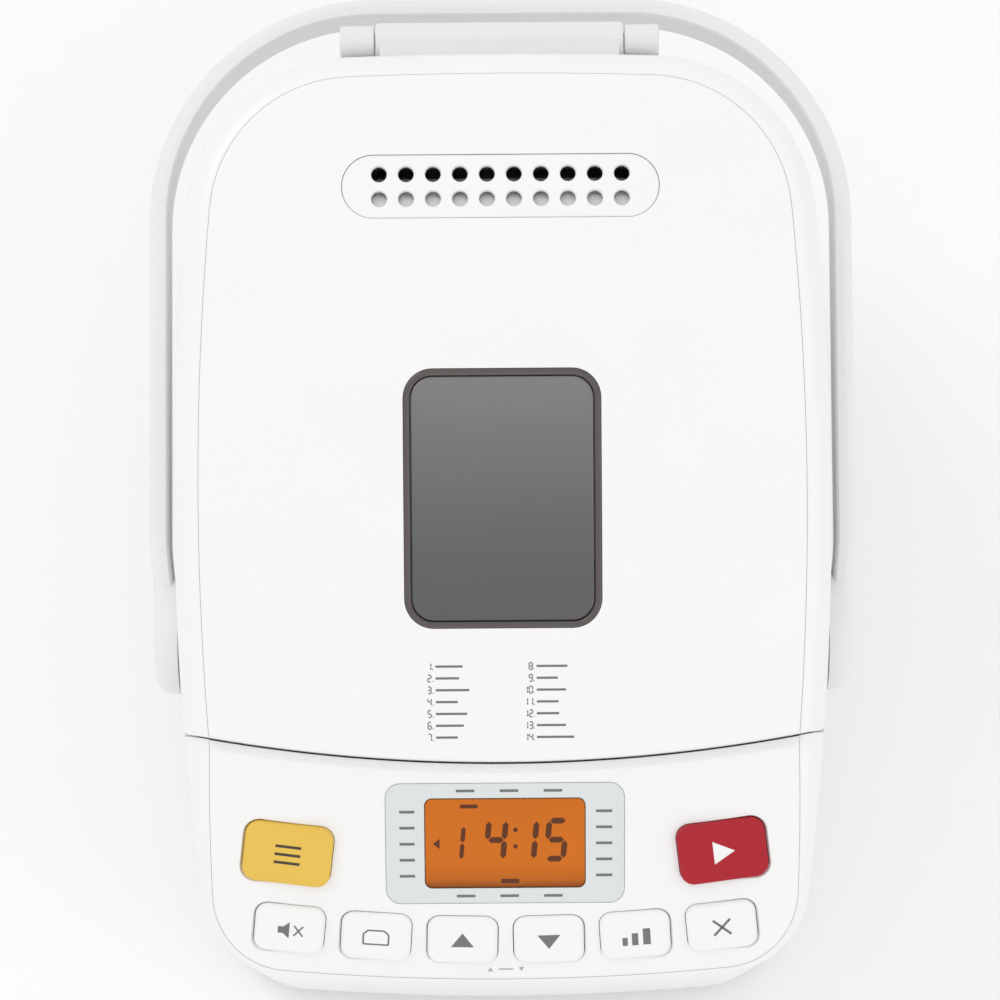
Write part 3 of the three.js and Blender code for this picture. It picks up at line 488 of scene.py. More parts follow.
def dress_cad_nodes():
    """Every CAD node that stays gets its slot's material and smooth faces with sharp creases."""
    for part in frame["record"]["subparts"]:
        obj = frame["nodes"][part["node"]]
        obj.data.materials.clear()
        obj.data.materials.append(SLOT_MATERIAL[part["material_slot"]])
        for face in obj.data.polygons:
            face.use_smooth = True
            face.material_index = 0
        weld = obj.modifiers.new("weld", "WELD")
        weld.merge_threshold = 0.00001
        crease = obj.modifiers.new("crease", "EDGE_SPLIT")
        crease.split_angle = math.radians(32)


# ---- cabinet shells ---------------------------------------------------------------------------
def cabinet_block(name, top):
    edge = 0.8
    rings = [ring(OUTLINE, DRAFT + 5.2 * (1 - math.sin(a)) ** 1.5, SKIRT_Z + 4 * (1 - math.cos(a)))
             for a in (0.55, 0.85, 1.15, 1.57)]
    rings.append(ring(OUTLINE, 0, WAIST_Z))
    steps = 12
    for i in range(steps + 1):
        a = math.pi / 2 * i / steps
        points = []
        for x, y, nx, ny in OUTLINE:
            by = shoulder(y) * (1 - math.cos(a))
            drop = (1.45 * shoulder(y) + 1) * (1 - math.sin(a)) + edge
            py = y - ny * by
            points.append((x - nx * by, py, top(py) - drop))
        rings.append(points)
    rings.append(ring(OUTLINE, shoulder, raised(top, -REBATE)))
    return loft(name, *rings)


def behind_lid_front(grow, low=-50, draft=0.0):
    """A block of everything behind the lid's front curve, moved forward by grow, with a leaning face."""
    return loft("tool", ring(front_loop(grow - draft), 0, low),
                ring(front_loop(grow), 0, lambda y: value_at(low, y) + 20), ring(front_loop(grow), 0, ABOVE))


def front_loop(by):
    reach = 150
    r = LID_R + by
    half = arc(0, LID_Y + LID_R, r, -math.pi / 2, -math.acos(reach / r), 30, 0.5)
    return mirrored(half + [(reach + 1, LID_Y + 60, 0, 0), (reach + 1, 330, 0, 0)])


def lid_side(low, draft=0.0, edge=0.9):
    """The lid's side of the seam, with its upper front edge rounded over."""
    rings = [ring(front_loop(-LID_LINE - draft), 0, low),
             ring(front_loop(-LID_LINE), 0, lambda y: value_at(low, y) + 12)]
    for a in (0.0, 0.35, 0.75, 1.15, 1.57):
        back = LID_LINE + edge * (1 - math.cos(a))
        rings.append(ring(front_loop(-back), 0, raised(crown_z, -edge * (1 - math.sin(a)) + 0.02)))
    rings.append(ring(front_loop(-LID_LINE - edge), 0, ABOVE))
    return loft("tool", *rings)


def strip_tool():
    """Cuts the sloping strip in front of the seam."""
    return loft("tool", ring(front_loop(LID_LINE), 0, raised(panel_z, -1.3)),
                ring(front_loop(LID_LINE + STRIP * 0.8), 0, raised(panel_z, -0.45)),
                ring(front_loop(LID_LINE + STRIP), 0, raised(panel_z, 0.02)),
                ring(front_loop(LID_LINE + STRIP), 0, ABOVE))


def shell_tool(inset, low, high):
    return loft("tool", ring(OUTLINE, inset, low), ring(OUTLINE, inset, high))


def face_plate(name, surface):
    """A plate inside the shoulder, under the lid's or the panel's surface, with a rounded edge."""
    edge = ((0, -PLATE), (0, -0.7), (0.15, -0.35), (0.5, -0.1), (1, 0))
    return loft(name, *[ring(OUTLINE, shoulder_inset(LINE + inset), raised(surface, rise))
                        for inset, rise in edge])


def make_body():
    body = cabinet_block("casing", panel_z)
    console_wall = SEAM + WALL
    recess = common(shell_tool(DECK_RIM, raised(parting_z, -DECK_DROP), ABOVE), behind_lid_front(LID_LINE))
    under = loft("tool", ring(OUTLINE, WALL + DRAFT, -1), ring(OUTLINE, WALL + DRAFT, 30),
                 ring(OUTLINE, WALL, WAIST_Z - 15), ring(OUTLINE, WALL, WAIST_Z - 9))
    under_deck = common(shell_tool(WALL, WAIST_Z - 10, raised(parting_z, -DECK_DROP - DECK_THICK)),
                        behind_lid_front(console_wall + 0.2))
    console = cut(shell_tool(WALL, WAIST_Z - 10, raised(panel_z, -REBATE - 2)),
                  behind_lid_front(console_wall))
    opening = cut(shell_tool(shoulder_inset(2), WAIST_Z - 14, ABOVE), behind_lid_front(console_wall + 2))
    mouth_width = oven_high.x - oven_low.x - 12
    mouth_length = oven_high.y - oven_low.y - 12
    mouth = prism("tool", rounded_rect(mouth_width, mouth_length, 29, OVEN_Y), 150, ABOVE)
    cut(body, behind_lid_front(LID_LINE, raised(parting_z, -LID_LINE)), strip_tool(), recess, under,
        under_deck, console, opening, mouth)
    gland_low, gland_high = extent("cord_gland")
    gland_x, gland_z = (gland_low.x + gland_high.x) / 2, (gland_low.z + gland_high.z) / 2
    tools = [move(rod(6.9, -6, 6, 32), (gland_x, REAR_Y, gland_z), (math.pi / 2, 0, 0))]
    pivot = joint_named["handle_swing"]["pos_m"]
    for side in (-1, 1):
        tools.append(move(rod(HANDLE_HOLE_R, -9, 9, 32), (side * HALF_WIDTH, pivot[1] / MM, pivot[2] / MM),
                          (0, math.pi / 2, 0)))
    slots, slot_x, slot_z, slot_pitch, slot_width, slot_length = 7, -48, 62, 8, 3, 28
    for i in range(slots):
        slot_loop = rounded_rect(slot_width, slot_length, 1.45, corner_steps=5)
        place = (slot_x + slot_pitch * (i - slots // 2), REAR_Y - 2, slot_z)
        tools.append(move(prism("tool", slot_loop, -7, 7), place, (math.pi / 2, 0, 0)))
    cut(body, *tools)
    dress(body, "cabinet", white, ["body_shell"])


def make_lid():
    front_wall = SEAM + LID_DRAFT + WALL
    hollow = common(shell_tool(WALL, WAIST_Z - 20, raised(crown_z, -REBATE - 2)),
                    behind_lid_front(-front_wall))
    opening = common(shell_tool(shoulder_inset(6), WAIST_Z - 20, ABOVE), behind_lid_front(-front_wall - 4))
    skirt = cabinet_block("lid_skirt", crown_z)
    common(skirt, lid_side(raised(parting_z, LID_LINE), LID_DRAFT))
    cut(skirt, hollow, opening)
    dress(skirt, "lid", white, ["lid_frame"])

    cover = face_plate("lid_top", crown_z)
    common(cover, lid_side(WAIST_Z))
    window = prism("tool", window_loop(-LINE), raised(crown_z, -12), raised(crown_z, 8))
    vent = prism("tool", vent_loop(-LINE), raised(crown_z, -12), raised(crown_z, 8))
    cut(cover, window, vent)
    dress(cover, "lid", white, ["lid_cover"])


def window_loop(inset):
    width, length = glass_high.x - glass_low.x - 2 * inset, glass_high.y - glass_low.y - 2 * inset
    return rounded_rect(width, length, 10 - inset, (glass_low.y + glass_high.y) / 2, 12)


def vent_loop(inset):
    width, length = vent_high.x - vent_low.x - 2 * inset, vent_high.y - vent_low.y - 2 * inset
    return rounded_rect(width, length, length / 2 - 0.05, (vent_low.y + vent_high.y) / 2, 1, 18)


def make_window():
    frame_width = 2.4
    loop = window_loop(0)
    bezel = stacked("window_frame", loop, crown_z, (0, -4.5), (0, -0.35), (0.12, -0.05), (0.45, 0.15),
                    (0.9, 0.2), (1.3, 0.12))
    sight = stacked("tool", loop, crown_z, (frame_width, -3), (frame_width, -0.9),
                    (frame_width - 0.35, -0.35), (frame_width - 0.9, -0.02), (frame_width - 1.1, 4))
    cut(bezel, sight, prism("tool", window_loop(frame_width + 2), raised(crown_z, -9), raised(crown_z, 4)))
    dress(bezel, "lid", frame_gloss, ["window_bezel"], angle=50)
    inner = window_loop(frame_width + 0.15)
    pane = stacked("window_glass", inner, crown_z, (0, -2.7), (0, -1.1), (0.25, -0.85), (0.7, -0.7),
                   (1.4, -0.65))
    dress(pane, "lid", smoked, ["window_outer"], angle=50)


def make_vent():
    y = (vent_low.y + vent_high.y) / 2
    pitch, row_gap, hole_r = 9.2, 8.4, 2.65
    plate = stacked("steam_grille", vent_loop(0), crown_z, (0, -PLATE), (0, -0.75), (0.2, -0.42), (0.5, -0.3))
    holes = []
    for row in (-1, 1):
        for i in range(10):
            x, hole_y = pitch * (i - 4.5), y + row * row_gap / 2
            top = crown_z(hole_y) - 0.3
            profile = [(0, top - 9), (hole_r, top - 9), (hole_r, top - 0.6), (hole_r + 0.15, top - 0.2),
                       (hole_r + 0.45, top + 0.1), (hole_r + 0.45, top + 3), (0, top + 3)]
            holes.append(move(turned("tool", profile, 36), (x, hole_y, 0)))
    cut(plate, *holes)
    dress(plate, "lid", white, ["vent_grille"])
    # A bright strip under the front row of holes, which throws the steam back to the rear row.
    front_y = y - row_gap / 2
    strip = rounded_rect(2 * (4.5 * pitch + 4), 6.4, 1.5, front_y, 10)
    baffle = loft("steam_baffle", ring(strip, 0, lambda v: crown_z(v) - 4.3 - 0.3 * (v - front_y)),
                  ring(strip, 0, lambda v: crown_z(v) - 3.9 - 0.3 * (v - front_y)))
    dress(baffle, "lid", aluminium)


# ---- control panel ----------------------------------------------------------------------------
KEYS = {
    "menu": (30.7, 22, 5, 583, 1.6, yellow, "yellow_plastic"),
    "start": (30.7, 22, 5, 583, 1.6, red, "red_plastic"),
}
SMALL_KEY = (24.4, 18.4, 4.5, 650, 1.4, white, "white_gloss")
SMALL_NAMES = ["quiet", "crust", "up", "down", "size", "cancel"]


def key_place(name):
    """A key's centre on the panel, its tilt and its turn, from the CAD node's own box."""
    low, high = extent(f"button_{name}")
    arc_r = KEYS.get(name, SMALL_KEY)[3]
    x = (low.x + high.x) / 2
    base = FRONT_Y + (39.4 if name in KEYS else 14.6)
    y = base + arc_r - math.sqrt(arc_r * arc_r - x * x)
    return Vector((x, y, panel_z(y))), (panel_tilt(y), 0, math.asin(x / arc_r))


def placed(obj, name):
    at, turn = key_place(name)
    return move(obj, at, turn)


def make_panel():
    plate = face_plate("panel_plate", panel_z)
    cut(plate, behind_lid_front(LID_LINE + 0.2), strip_tool())
    tools = [prism("tool", display_loop(-LINE), raised(panel_z, -12), raised(panel_z, 8))]
    for name in [*KEYS, *SMALL_NAMES]:
        width, length, corner = KEYS.get(name, SMALL_KEY)[:3]
        loop = rounded_rect(width, length, corner)
        edge = ((0, -9), (0, -0.5), (0.12, -0.22), (0.4, 0.02), (0.6, 0.6), (0.6, 6))
        well = loft("tool", *[ring(loop, -KEY_GAP - out, z) for out, z in edge])
        tools.append(placed(well, name))
    cut(plate, *tools)
    dress(plate, "cabinet", white, ["control_panel"], angle=50)


def make_keys():
    for name in [*KEYS, *SMALL_NAMES]:
        width, length, corner, _, proud, finish, slot_name = KEYS.get(name, SMALL_KEY)
        cap = rounded_rect(width, length, corner)
        rounding = 1.0 if name in KEYS else 1.5
        rings = [ring(cap, 0, -4.6)]
        steps = 6
        for i in range(steps + 1):
            a = math.pi / 2 * i / steps
            rings.append(ring(cap, rounding * (1 - math.cos(a)), proud - rounding * (1 - math.sin(a))))
        rings.append(ring(cap, rounding + 1.6, proud + 0.05))
        key = placed(loft(f"key_{name}", *rings), name)
        dress(key, f"button_{name}", finish, [f"button_{name}"])


def display_loop(inset):
    width, length = bezel_high.x - bezel_low.x - 2 * inset, bezel_high.y - bezel_low.y - 2 * inset
    return rounded_rect(width, length, 5 - inset, (bezel_low.y + bezel_high.y) / 2, 8)


DISPLAY_Y = (bezel_low.y + bezel_high.y) / 2
GLASS = (55.7, 30.4)
PROUD = 0.5


def glass_loop(inset):
    return rounded_rect(GLASS[0] - 2 * inset, GLASS[1] - 2 * inset, 2.6 - inset, DISPLAY_Y, 8)


def make_display():
    bezel = stacked("display_frame", display_loop(0), panel_z, (0, -PLATE), (0, PROUD - 0.5),
                    (0.15, PROUD - 0.15), (0.5, PROUD))
    cut(bezel, prism("tool", glass_loop(0), raised(panel_z, -1.9), raised(panel_z, 5)),
        prism("tool", glass_loop(2), raised(panel_z, -9), raised(panel_z, 5)))
    dress(bezel, "cabinet", pale_grey, ["display_bezel"])
    pane = stacked("display_glass", glass_loop(GAP), panel_z, (0, -1.6), (0, PROUD - 0.5), (0.3, PROUD - 0.3))
    dress(pane, "cabinet", amber, ["display_window"])


# ---- prints: thin flat shapes laid on a surface -----------------------------------------------
PRINT = 0.05


def print_shape(name, polygons, surface, body, material, thickness=PRINT):
    """Thin raised polygons, each a list of (x, y), draped over surface(x, y)."""
    points, faces = [], []
    for polygon in polygons:
        area = sum(a[0] * b[1] - b[0] * a[1] for a, b in zip(polygon, polygon[1:] + polygon[:1]))
        if area < 0:
            polygon = polygon[::-1]
        n, base = len(polygon), len(points)
        points += [(x, y, surface(x, y) - 0.02) for x, y in polygon]
        points += [(x, y, surface(x, y) + thickness) for x, y in polygon]
        faces.append(tuple(base + i for i in reversed(range(n))))
        faces.append(tuple(base + n + i for i in range(n)))
        faces += [(base + i, base + (i + 1) % n, base + n + (i + 1) % n, base + n + i) for i in range(n)]
    obj = new_object(name, points, faces)
    return dress(obj, body, material, angle=20)


def bar(x0, y0, x1, y1, width):
    """A straight stroke as a four-sided polygon."""
    d = Vector((x1 - x0, y1 - y0))
    n = Vector((-d.y, d.x)).normalized() * width / 2
    return [(x0 - n.x, y0 - n.y), (x1 - n.x, y1 - n.y), (x1 + n.x, y1 + n.y), (x0 + n.x, y0 + n.y)]


def circle(x, y, radius, steps=16):
    return [(x + radius * math.cos(2 * math.pi * i / steps), y + radius * math.sin(2 * math.pi * i / steps))
            for i in range(steps)]


SEGMENTS = {"0": "abcdef", "1": "bc", "2": "abged", "3": "abgcd", "4": "fgbc", "5": "afgcd", "6": "afgedc",
            "7": "abc", "8": "abcdefg", "9": "abcdfg"}


def digit(text, x, y, width, height, stroke, lean=0.0):
    """Seven-segment strokes of one numeral, with its lower left corner at (x, y)."""
    h, g, s = height / 2, stroke * 0.12, stroke
    spans = {"a": (0, height, width, height), "g": (0, h, width, h), "d": (0, 0, width, 0),
             "f": (0, h, 0, height), "b": (width, h, width, height), "e": (0, 0, 0, h),
             "c": (width, 0, width, h)}
    strokes = []
    for part in SEGMENTS[text]:
        x0, y0, x1, y1 = spans[part]
        level = y0 == y1
        if level:
            corners = [(x0 + g, y0), (x0 + g + s / 2, y0 - s / 2), (x1 - g - s / 2, y0 - s / 2), (x1 - g, y0),
                       (x1 - g - s / 2, y0 + s / 2), (x0 + g + s / 2, y0 + s / 2)]
        else:
            corners = [(x0, y0 + g), (x0 + s / 2, y0 + g + s / 2), (x0 + s / 2, y1 - g - s / 2), (x0, y1 - g),
                       (x0 - s / 2, y1 - g - s / 2), (x0 - s / 2, y0 + g + s / 2)]
        strokes.append([(x + px + lean * py, y + py) for px, py in corners])
    return strokes


def on_glass(x, y):
    return panel_z(y) + PROUD - 0.3


def on_bezel(x, y):
    return panel_z(y) + PROUD


def on_panel(x, y):
    return panel_z(y)


def on_cover(x, y):
    return crown_z(y)


def make_display_prints():
    y = DISPLAY_Y
    strokes = digit("1", -18.8, y - 5.4, 3.6, 11, 1.5, 0.09)
    strokes += digit("4", -6.6, y - 5.4, 5.8, 12.8, 1.95, 0.09)
    strokes += digit("1", 5, y - 5.4, 4.8, 12.8, 1.95, 0.09)
    strokes += digit("5", 14.2, y - 5.4, 5.8, 12.8, 1.95, 0.09)
    strokes += [circle(3.6, y - 1.2, 0.75), circle(3.6, y + 4.4, 0.75)]
    strokes += [bar(-15.4, y + 12.4, -9.4, y + 12.4, 1.3), bar(-1.4, y - 12.8, 4.8, y - 12.8, 1.4)]
    strokes += [[(-24.9, y - 0.2), (-22.6, y + 1.5), (-22.6, y - 1.9)]]
    print_shape("display_segments", strokes, on_glass, "cabinet", lcd_ink)
    marks = []
    for x in (-13.6, 1.5, 16.6):
        marks += [bar(x - 3.2, y + 17.6, x + 3.2, y + 17.6, 0.9),
                  bar(x - 3.2, y - 17.8, x + 3.2, y - 17.8, 0.9)]
    for i in range(5):
        row_y = y + 10.6 - 5.4 * i
        marks += [bar(-36.4, row_y, -31.2, row_y, 0.9), bar(31.4, row_y, 37, row_y, 0.9)]
    print_shape("display_marks", marks, on_bezel, "cabinet", ink)


def make_programme_list():
    """Numerals 1 to 14 in two columns, each followed by a plain dash in place of a name."""
    marks = []
    rows, first_y, row_step = 7, -67.8, 3.98
    lengths = random.Random(7)
    for i in range(14):
        column, row = divmod(i, rows)
        y = first_y - row_step * row
        x = -26.4 if column == 0 else 6.6
        text = str(i + 1)
        for k, figure in enumerate(text.rjust(2) if column else text):
            if figure != " ":
                marks += digit(figure, x + 0.3 + 1.75 * k, y - 1.15, 1.15, 2.3, 0.42)
        after = x + (3.9 if column else 2.3)
        marks.append(circle(after - 0.2, y - 1.0, 0.2, 8))
        marks.append(bar(after + 0.7, y, after + 0.7 + lengths.uniform(7, 14), y, 0.75))
    print_shape("programme_list", marks, on_cover, "lid", ink)


def key_surface(name):
    """Height of a key's flat top above a point, for prints laid out in the panel's plan."""
    at, turn = key_place(name)
    proud = KEYS.get(name, SMALL_KEY)[4] + 0.05
    normal = Euler(turn).to_matrix() @ Vector((0, 0, 1))
    start = at + normal * proud
    return lambda x, y: start.z - (normal.x * (x - start.x) + normal.y * (y - start.y)) / normal.z


def key_print(name, shapes, material):
    """Prints a symbol on a key; its shapes are in the key's own plane, about its centre."""
    at, turn = key_place(name)
    rotation = Euler(turn).to_matrix()
    proud = KEYS.get(name, SMALL_KEY)[4] + 0.05
    laid = []
    for shape in shapes:
        laid.append([tuple((at + rotation @ Vector((x, y, proud)))[:2]) for x, y in shape])
    print_shape(f"symbol_{name}", laid, key_surface(name), f"button_{name}", material)


def make_key_prints():
    key_print("menu", [bar(-4.5, 3 - 3 * i, 4.5, 3 - 3 * i, 1) for i in range(3)], ink_dark)
    key_print("start", [[(-3.2, -4.2), (4.2, 0), (-3.2, 4.2)]], ink_white)
    key_print("quiet", [[(-4, -1.3), (-2.2, -1.3), (0, -3.2), (0, 3.2), (-2.2, 1.3), (-4, 1.3)],
                        bar(1.6, -2, 4.8, 2, 0.6), bar(1.6, 2, 4.8, -2, 0.6)], ink)
    key_print("crust", [bar(-4.4, -2.6, 4.4, -2.6, 0.6), bar(-4.4, -2.6, -4.4, 1.4, 0.6),
                        bar(4.4, -2.6, 4.4, 1.4, 0.6), bar(-4.4, 1.4, -2.8, 2.9, 0.6),
                        bar(4.4, 1.4, 2.8, 2.9, 0.6), bar(-2.8, 2.9, 2.8, 2.9, 0.6)], ink)
    key_print("up", [[(-4, -2.3), (4, -2.3), (0, 3.2)]], ink)
    key_print("down", [[(-4, 2.3), (0, -3.2), (4, 2.3)]], ink)
    key_print("size", [bar(-4.6, -2, -2.8, -2, 3.2), bar(-1.3, -1.2, 0.9, -1.2, 4.8),
                       bar(2.6, -0.4, 5.2, -0.4, 6.4)], ink)
    key_print("cancel", [bar(-3, -3, 3, 3, 0.9), bar(-3, 3, 3, -3, 0.9)], ink)
    low_y = FRONT_Y + 4.6
    marks = [[(-6.4, low_y - 0.8), (-4.4, low_y - 0.8), (-5.4, low_y + 0.7)],
             [(4.4, low_y + 0.7), (5.4, low_y - 0.8), (6.4, low_y + 0.7)], bar(-2.6, low_y, 2.6, low_y, 0.5)]
    print_shape("clock_marks", marks, on_panel, "cabinet", ink_light)


# ---- handle and hinge -------------------------------------------------------------------------
def make_handle():
    pivot = Vector(joint_named["handle_swing"]["pos_m"]) / MM
    half_width, rear_y = handle_high.x, handle_high.y
    corner, thickness, half = 79.3, 7.1, 12
    disc_r, disc_out, disc_in, head, dome = 20.5, half_width - 1.8, HALF_WIDTH + 0.8, 9.4, 7
    arm_end, taper, reach = pivot.y + 10.5, handle_high.x - disc_out + 0.1, 26
    arm = [(half_width - taper, pivot.y - 60, 1, 0)]
    for i in range(9):
        share = i / 8
        ease = share * share * (3 - 2 * share)
        arm.append((half_width - taper * (1 - ease), arm_end - 2 + reach * share, 1, 0))
    loop = mirrored(arm + arc(half_width - corner, rear_y - corner, corner, 0, math.pi / 2, 30))
    outer = [(3.6, half), (2.4, half - 0.7), (1.1, half - 2.2), (0.3, half - 4), (0, half - 6)]
    inner = [(thickness - 1.5, half + 0.4), (thickness - 0.9, half - 0.25), (thickness - 0.3, half - 1),
             (thickness, half - 2.2)]

    def both_edges(name, steps):
        return loft(name, *[ring(loop, inset, pivot.z - z) for inset, z in steps],
                    *[ring(loop, inset, pivot.z + z) for inset, z in reversed(steps)])
    band = both_edges("handle_band", outer)
    front = prism("tool", rounded_rect(400, 200, 2, arm_end - 100), pivot.z - 60, pivot.z + 60)
    cut(band, both_edges("tool", inner), front)
    rim = [(disc_r - dome * (1 - math.sin(a)), disc_out - dome * (1 - math.cos(a)))
           for a in (math.pi / 2 * k / 9 for k in range(10))]
    profile = [(HANDLE_HOLE_R, disc_in), (disc_r, disc_in)] + rim[::-1]
    profile += [(head, disc_out), (head, disc_out - 2.2), (HANDLE_HOLE_R, disc_out - 2.2)]
    discs = []
    for side in (1, -1):
        disc = turned("tool", profile, 72, closed=True)
        discs.append(move(disc, (0, pivot.y, pivot.z), (0, side * math.pi / 2, 0)))
    union(band, *discs)
    dress(band, "handle", white_satin, ["carry_handle"], angle=42)
    pin = HANDLE_HOLE_R - GAP
    stem = [(0, HALF_WIDTH - 7), (pin, HALF_WIDTH - 7), (pin, disc_out - 2)]
    button = [(8.7, disc_out - 2), (9, disc_out - 1.6), (9, disc_out - 0.9), (8.6, disc_out - 0.45),
              (7.6, disc_out - 0.25), (0, disc_out - 0.1)]
    for side, sign in (("left", -1), ("right", 1)):
        cap = turned(f"pivot_cap_{side}", stem + button, 48)
        move(cap, (0, pivot.y, pivot.z), (0, sign * math.pi / 2, 0))
        dress(cap, "cabinet", pale_grey, [f"handle_pivot_{side}"])


def rounded_barrel(name, radius, half, edge=1.2):
    corner = [(radius - edge * (1 - math.sin(a)), half - edge * (1 - math.cos(a)))
              for a in (0, 0.5, 1.0, 1.57)]
    profile = [(PIN_HOLE_R, -half)] + [(r, -z) for r, z in corner] + corner[::-1] + [(PIN_HOLE_R, half)]
    return move(turned(name, profile, 64, closed=True), rotation=(0, math.pi / 2, 0))


def make_hinge():
    axis = Vector(joint_named["lid_hinge"]["pos_m"]) / MM
    half = knuckle_high.x
    barrel = move(rounded_barrel("hinge_barrel", 6.4, half), axis)
    wall_y = REAR_Y + SLIP
    web = prism("tool", rounded_rect(2 * half - 3, axis.y - wall_y, 0.4, (axis.y + wall_y) / 2),
                axis.z - 4.9, axis.z + 6)

    def pin_way():
        return move(rod(PIN_HOLE_R, -90, 90), axis, (0, math.pi / 2, 0))
    cut(union(barrel, web), pin_way())
    dress(barrel, "lid", hinge_white, ["lid_knuckle"])
    width = bracket_high.x - bracket_low.x
    x = (bracket_low.x + bracket_high.x) / 2

    def beside(piece):
        return move(piece, (-x, 0, 0))
    ear = move(rounded_barrel("hinge_ear_left", 5.4, width / 2, 0.8), (-x, axis.y, axis.z))
    leg = beside(prism("tool", rounded_rect(width, 4, 1.2, wall_y + 2.2), bracket_low.z, axis.z - 1))
    heel = beside(prism("tool", rounded_rect(width, axis.y - wall_y - 0.4, 1, (axis.y + wall_y) / 2 + 0.4),
                        axis.z - 12.5, axis.z - 3.5))
    cut(union(ear, leg, heel), pin_way())
    other = bpy.data.objects.new("hinge_ear_right", ear.data.copy())
    bpy.context.scene.collection.objects.link(other)
    other.data.transform(Matrix.Scale(-1, 4, (1, 0, 0)))
    other.data.flip_normals()
    dress(ear, "cabinet", hinge_white, ["hinge_bracket_left"])
    dress(other, "cabinet", hinge_white, ["hinge_bracket_right"])


# ---- pan and oven -----------------------------------------------------------------------------
def make_pan():
    y = (pan_low.y + pan_high.y) / 2
    width, length = pan_high.x - pan_low.x, pan_high.y - pan_low.y
    floor, rim_z, draft, wall, lip = pan_low.z, pan_high.z - 2, 5, 1.6, 2
    loop = rounded_rect(width - 2 * lip, length - 2 * lip, 18, y)
    bend = 9

    def inset_at(z):
        slope = draft * (rim_z - z) / (rim_z - floor)
        if z >= floor + bend:
            return slope
        t = (floor + bend - z) / bend
        return slope + bend * (1 - math.sqrt(max(1 - t * t, 0)))
    heights = [floor + bend * (1 - math.cos(math.pi / 2 * i / 8)) for i in range(1, 9)]
    heights += [floor + bend + (rim_z - floor - bend) * i / 3 for i in range(1, 4)]
    rolled = ((0, 0.2), (0.5 - lip, 0.2), (-lip, 0.7), (-lip, 1.3), (0.7 - lip, 2), (0.6, 2))
    outside = loft("pan_body", *[ring(loop, inset_at(z), z) for z in (floor, *heights)],
                   *[ring(loop, inset, rim_z + rise) for inset, rise in rolled])
    inner = [ring(loop, inset_at(z) + wall, z + (wall if z < floor + bend else 0))
             for z in (floor + 0.05, *heights)]
    cut(outside, loft("tool", *inner, ring(loop, wall - 0.4, rim_z + 1.6), ring(loop, 0.5, rim_z + 3)),
        move(rod(8.4, floor - 4, floor + 9), (0, y, 0)))
    dress(outside, "pan", non_stick, ["bread_pan"])


def make_liner():
    """The pressed sheet under the lid, with its dish, and the seal round the oven's mouth."""
    low, dish, bend = 0.9, 7.8, 4
    flange = common(shell_tool(WALL + SLIP, raised(parting_z, low), raised(parting_z, low + SHEET)),
                    behind_lid_front(-(SEAM + LID_DRAFT + WALL + SLIP)))
    flange.name = "liner_sheet"
    rim = rounded_rect(OVEN_WIDTH - 12, OVEN_LENGTH - 12, 26, OVEN_Y, 4)

    def dished(inset, bottom, top):
        return stacked("tool", rim, parting_z, (inset, bottom), (inset, top - bend),
                       *[(inset + bend * (1 - math.cos(a)), top - bend + bend * math.sin(a)) for a in BENDS])
    outside = dished(0, 1.2, dish + SHEET)
    inside = dished(SHEET, -5, dish)
    sight = prism("tool", window_loop(3), 200, 320)
    steam = prism("tool", rounded_rect(88, 7, 3.4, (vent_low.y + vent_high.y) / 2), 200, 320)
    cut(union(flange, outside), inside, sight, steam)
    dress(flange, "lid", aluminium, ["inner_lid_plate"])

    def round_oven(grow, corner):
        return rounded_rect(OVEN_WIDTH + grow, OVEN_LENGTH + grow, corner, OVEN_Y, 4)
    seal = loft("lid_gasket", ring(round_oven(8, 30), 0, raised(parting_z, -3.9)),
                ring(round_oven(12, 32), 0, raised(parting_z, -2.4)),
                ring(round_oven(12, 32), 0, raised(parting_z, 0.6)))
    cut(seal, prism("tool", round_oven(2, 27), raised(parting_z, -20), raised(parting_z, 20)))
    dress(seal, "lid", silicone, ["lid_seal"])


# ---- bent wires, the oven and the paddle ------------------------------------------------------
def tube(name, corners, radius, sides=20, bend_steps=10):
    """A round bar along (point, bend) corners; the bar turns each corner on its own bend radius."""
    path = []
    for i, (point, bend) in enumerate(corners):
        at = Vector(point)
        if not bend:
            path.append(at)
            continue
        before = at + (Vector(corners[i - 1][0]) - at).normalized() * bend
        after = at + (Vector(corners[i + 1][0]) - at).normalized() * bend
        for k in range(bend_steps + 1):
            t = k / bend_steps
            path.append(before * (1 - t) ** 2 + at * 2 * t * (1 - t) + after * t * t)
    up = Vector((0, 0, 1))
    points = []
    for i, at in enumerate(path):
        along = (path[min(i + 1, len(path) - 1)] - path[max(i - 1, 0)]).normalized()
        side = along.cross(up).normalized()
        angles = [2 * math.pi * k / sides for k in range(sides)]
        points += [tuple(at + radius * (side * math.cos(a) + up * math.sin(a))) for a in angles]
    faces = [tuple(range(sides)), tuple((len(path) - 1) * sides + k for k in reversed(range(sides)))]
    for i in range(len(path) - 1):
        a, b = i * sides, (i + 1) * sides
        faces += [(a + k, b + k, b + (k + 1) % sides, a + (k + 1) % sides) for k in range(sides)]
    obj = new_object(name, points, faces)
    face_out(obj)
    return obj


def make_bail():
    low, high = extent("pan_bail")
    wire, tight, bend, stub = 2.1, 3.2, 12, 5.6
    z = joint_named["bail_swing"]["pos_m"][2] / MM
    x, front, rear = low.x + wire, low.y + wire, high.y - wire
    bail = tube("lifting_bail", [((0, front + stub, z), 0), ((0, front, z), tight), ((x, front, z), bend),
                                 ((x, rear, z), bend), ((0, rear, z), tight), ((0, rear - stub, z), 0)], wire)
    dress(bail, "bail", steel, ["pan_bail"], angle=60)


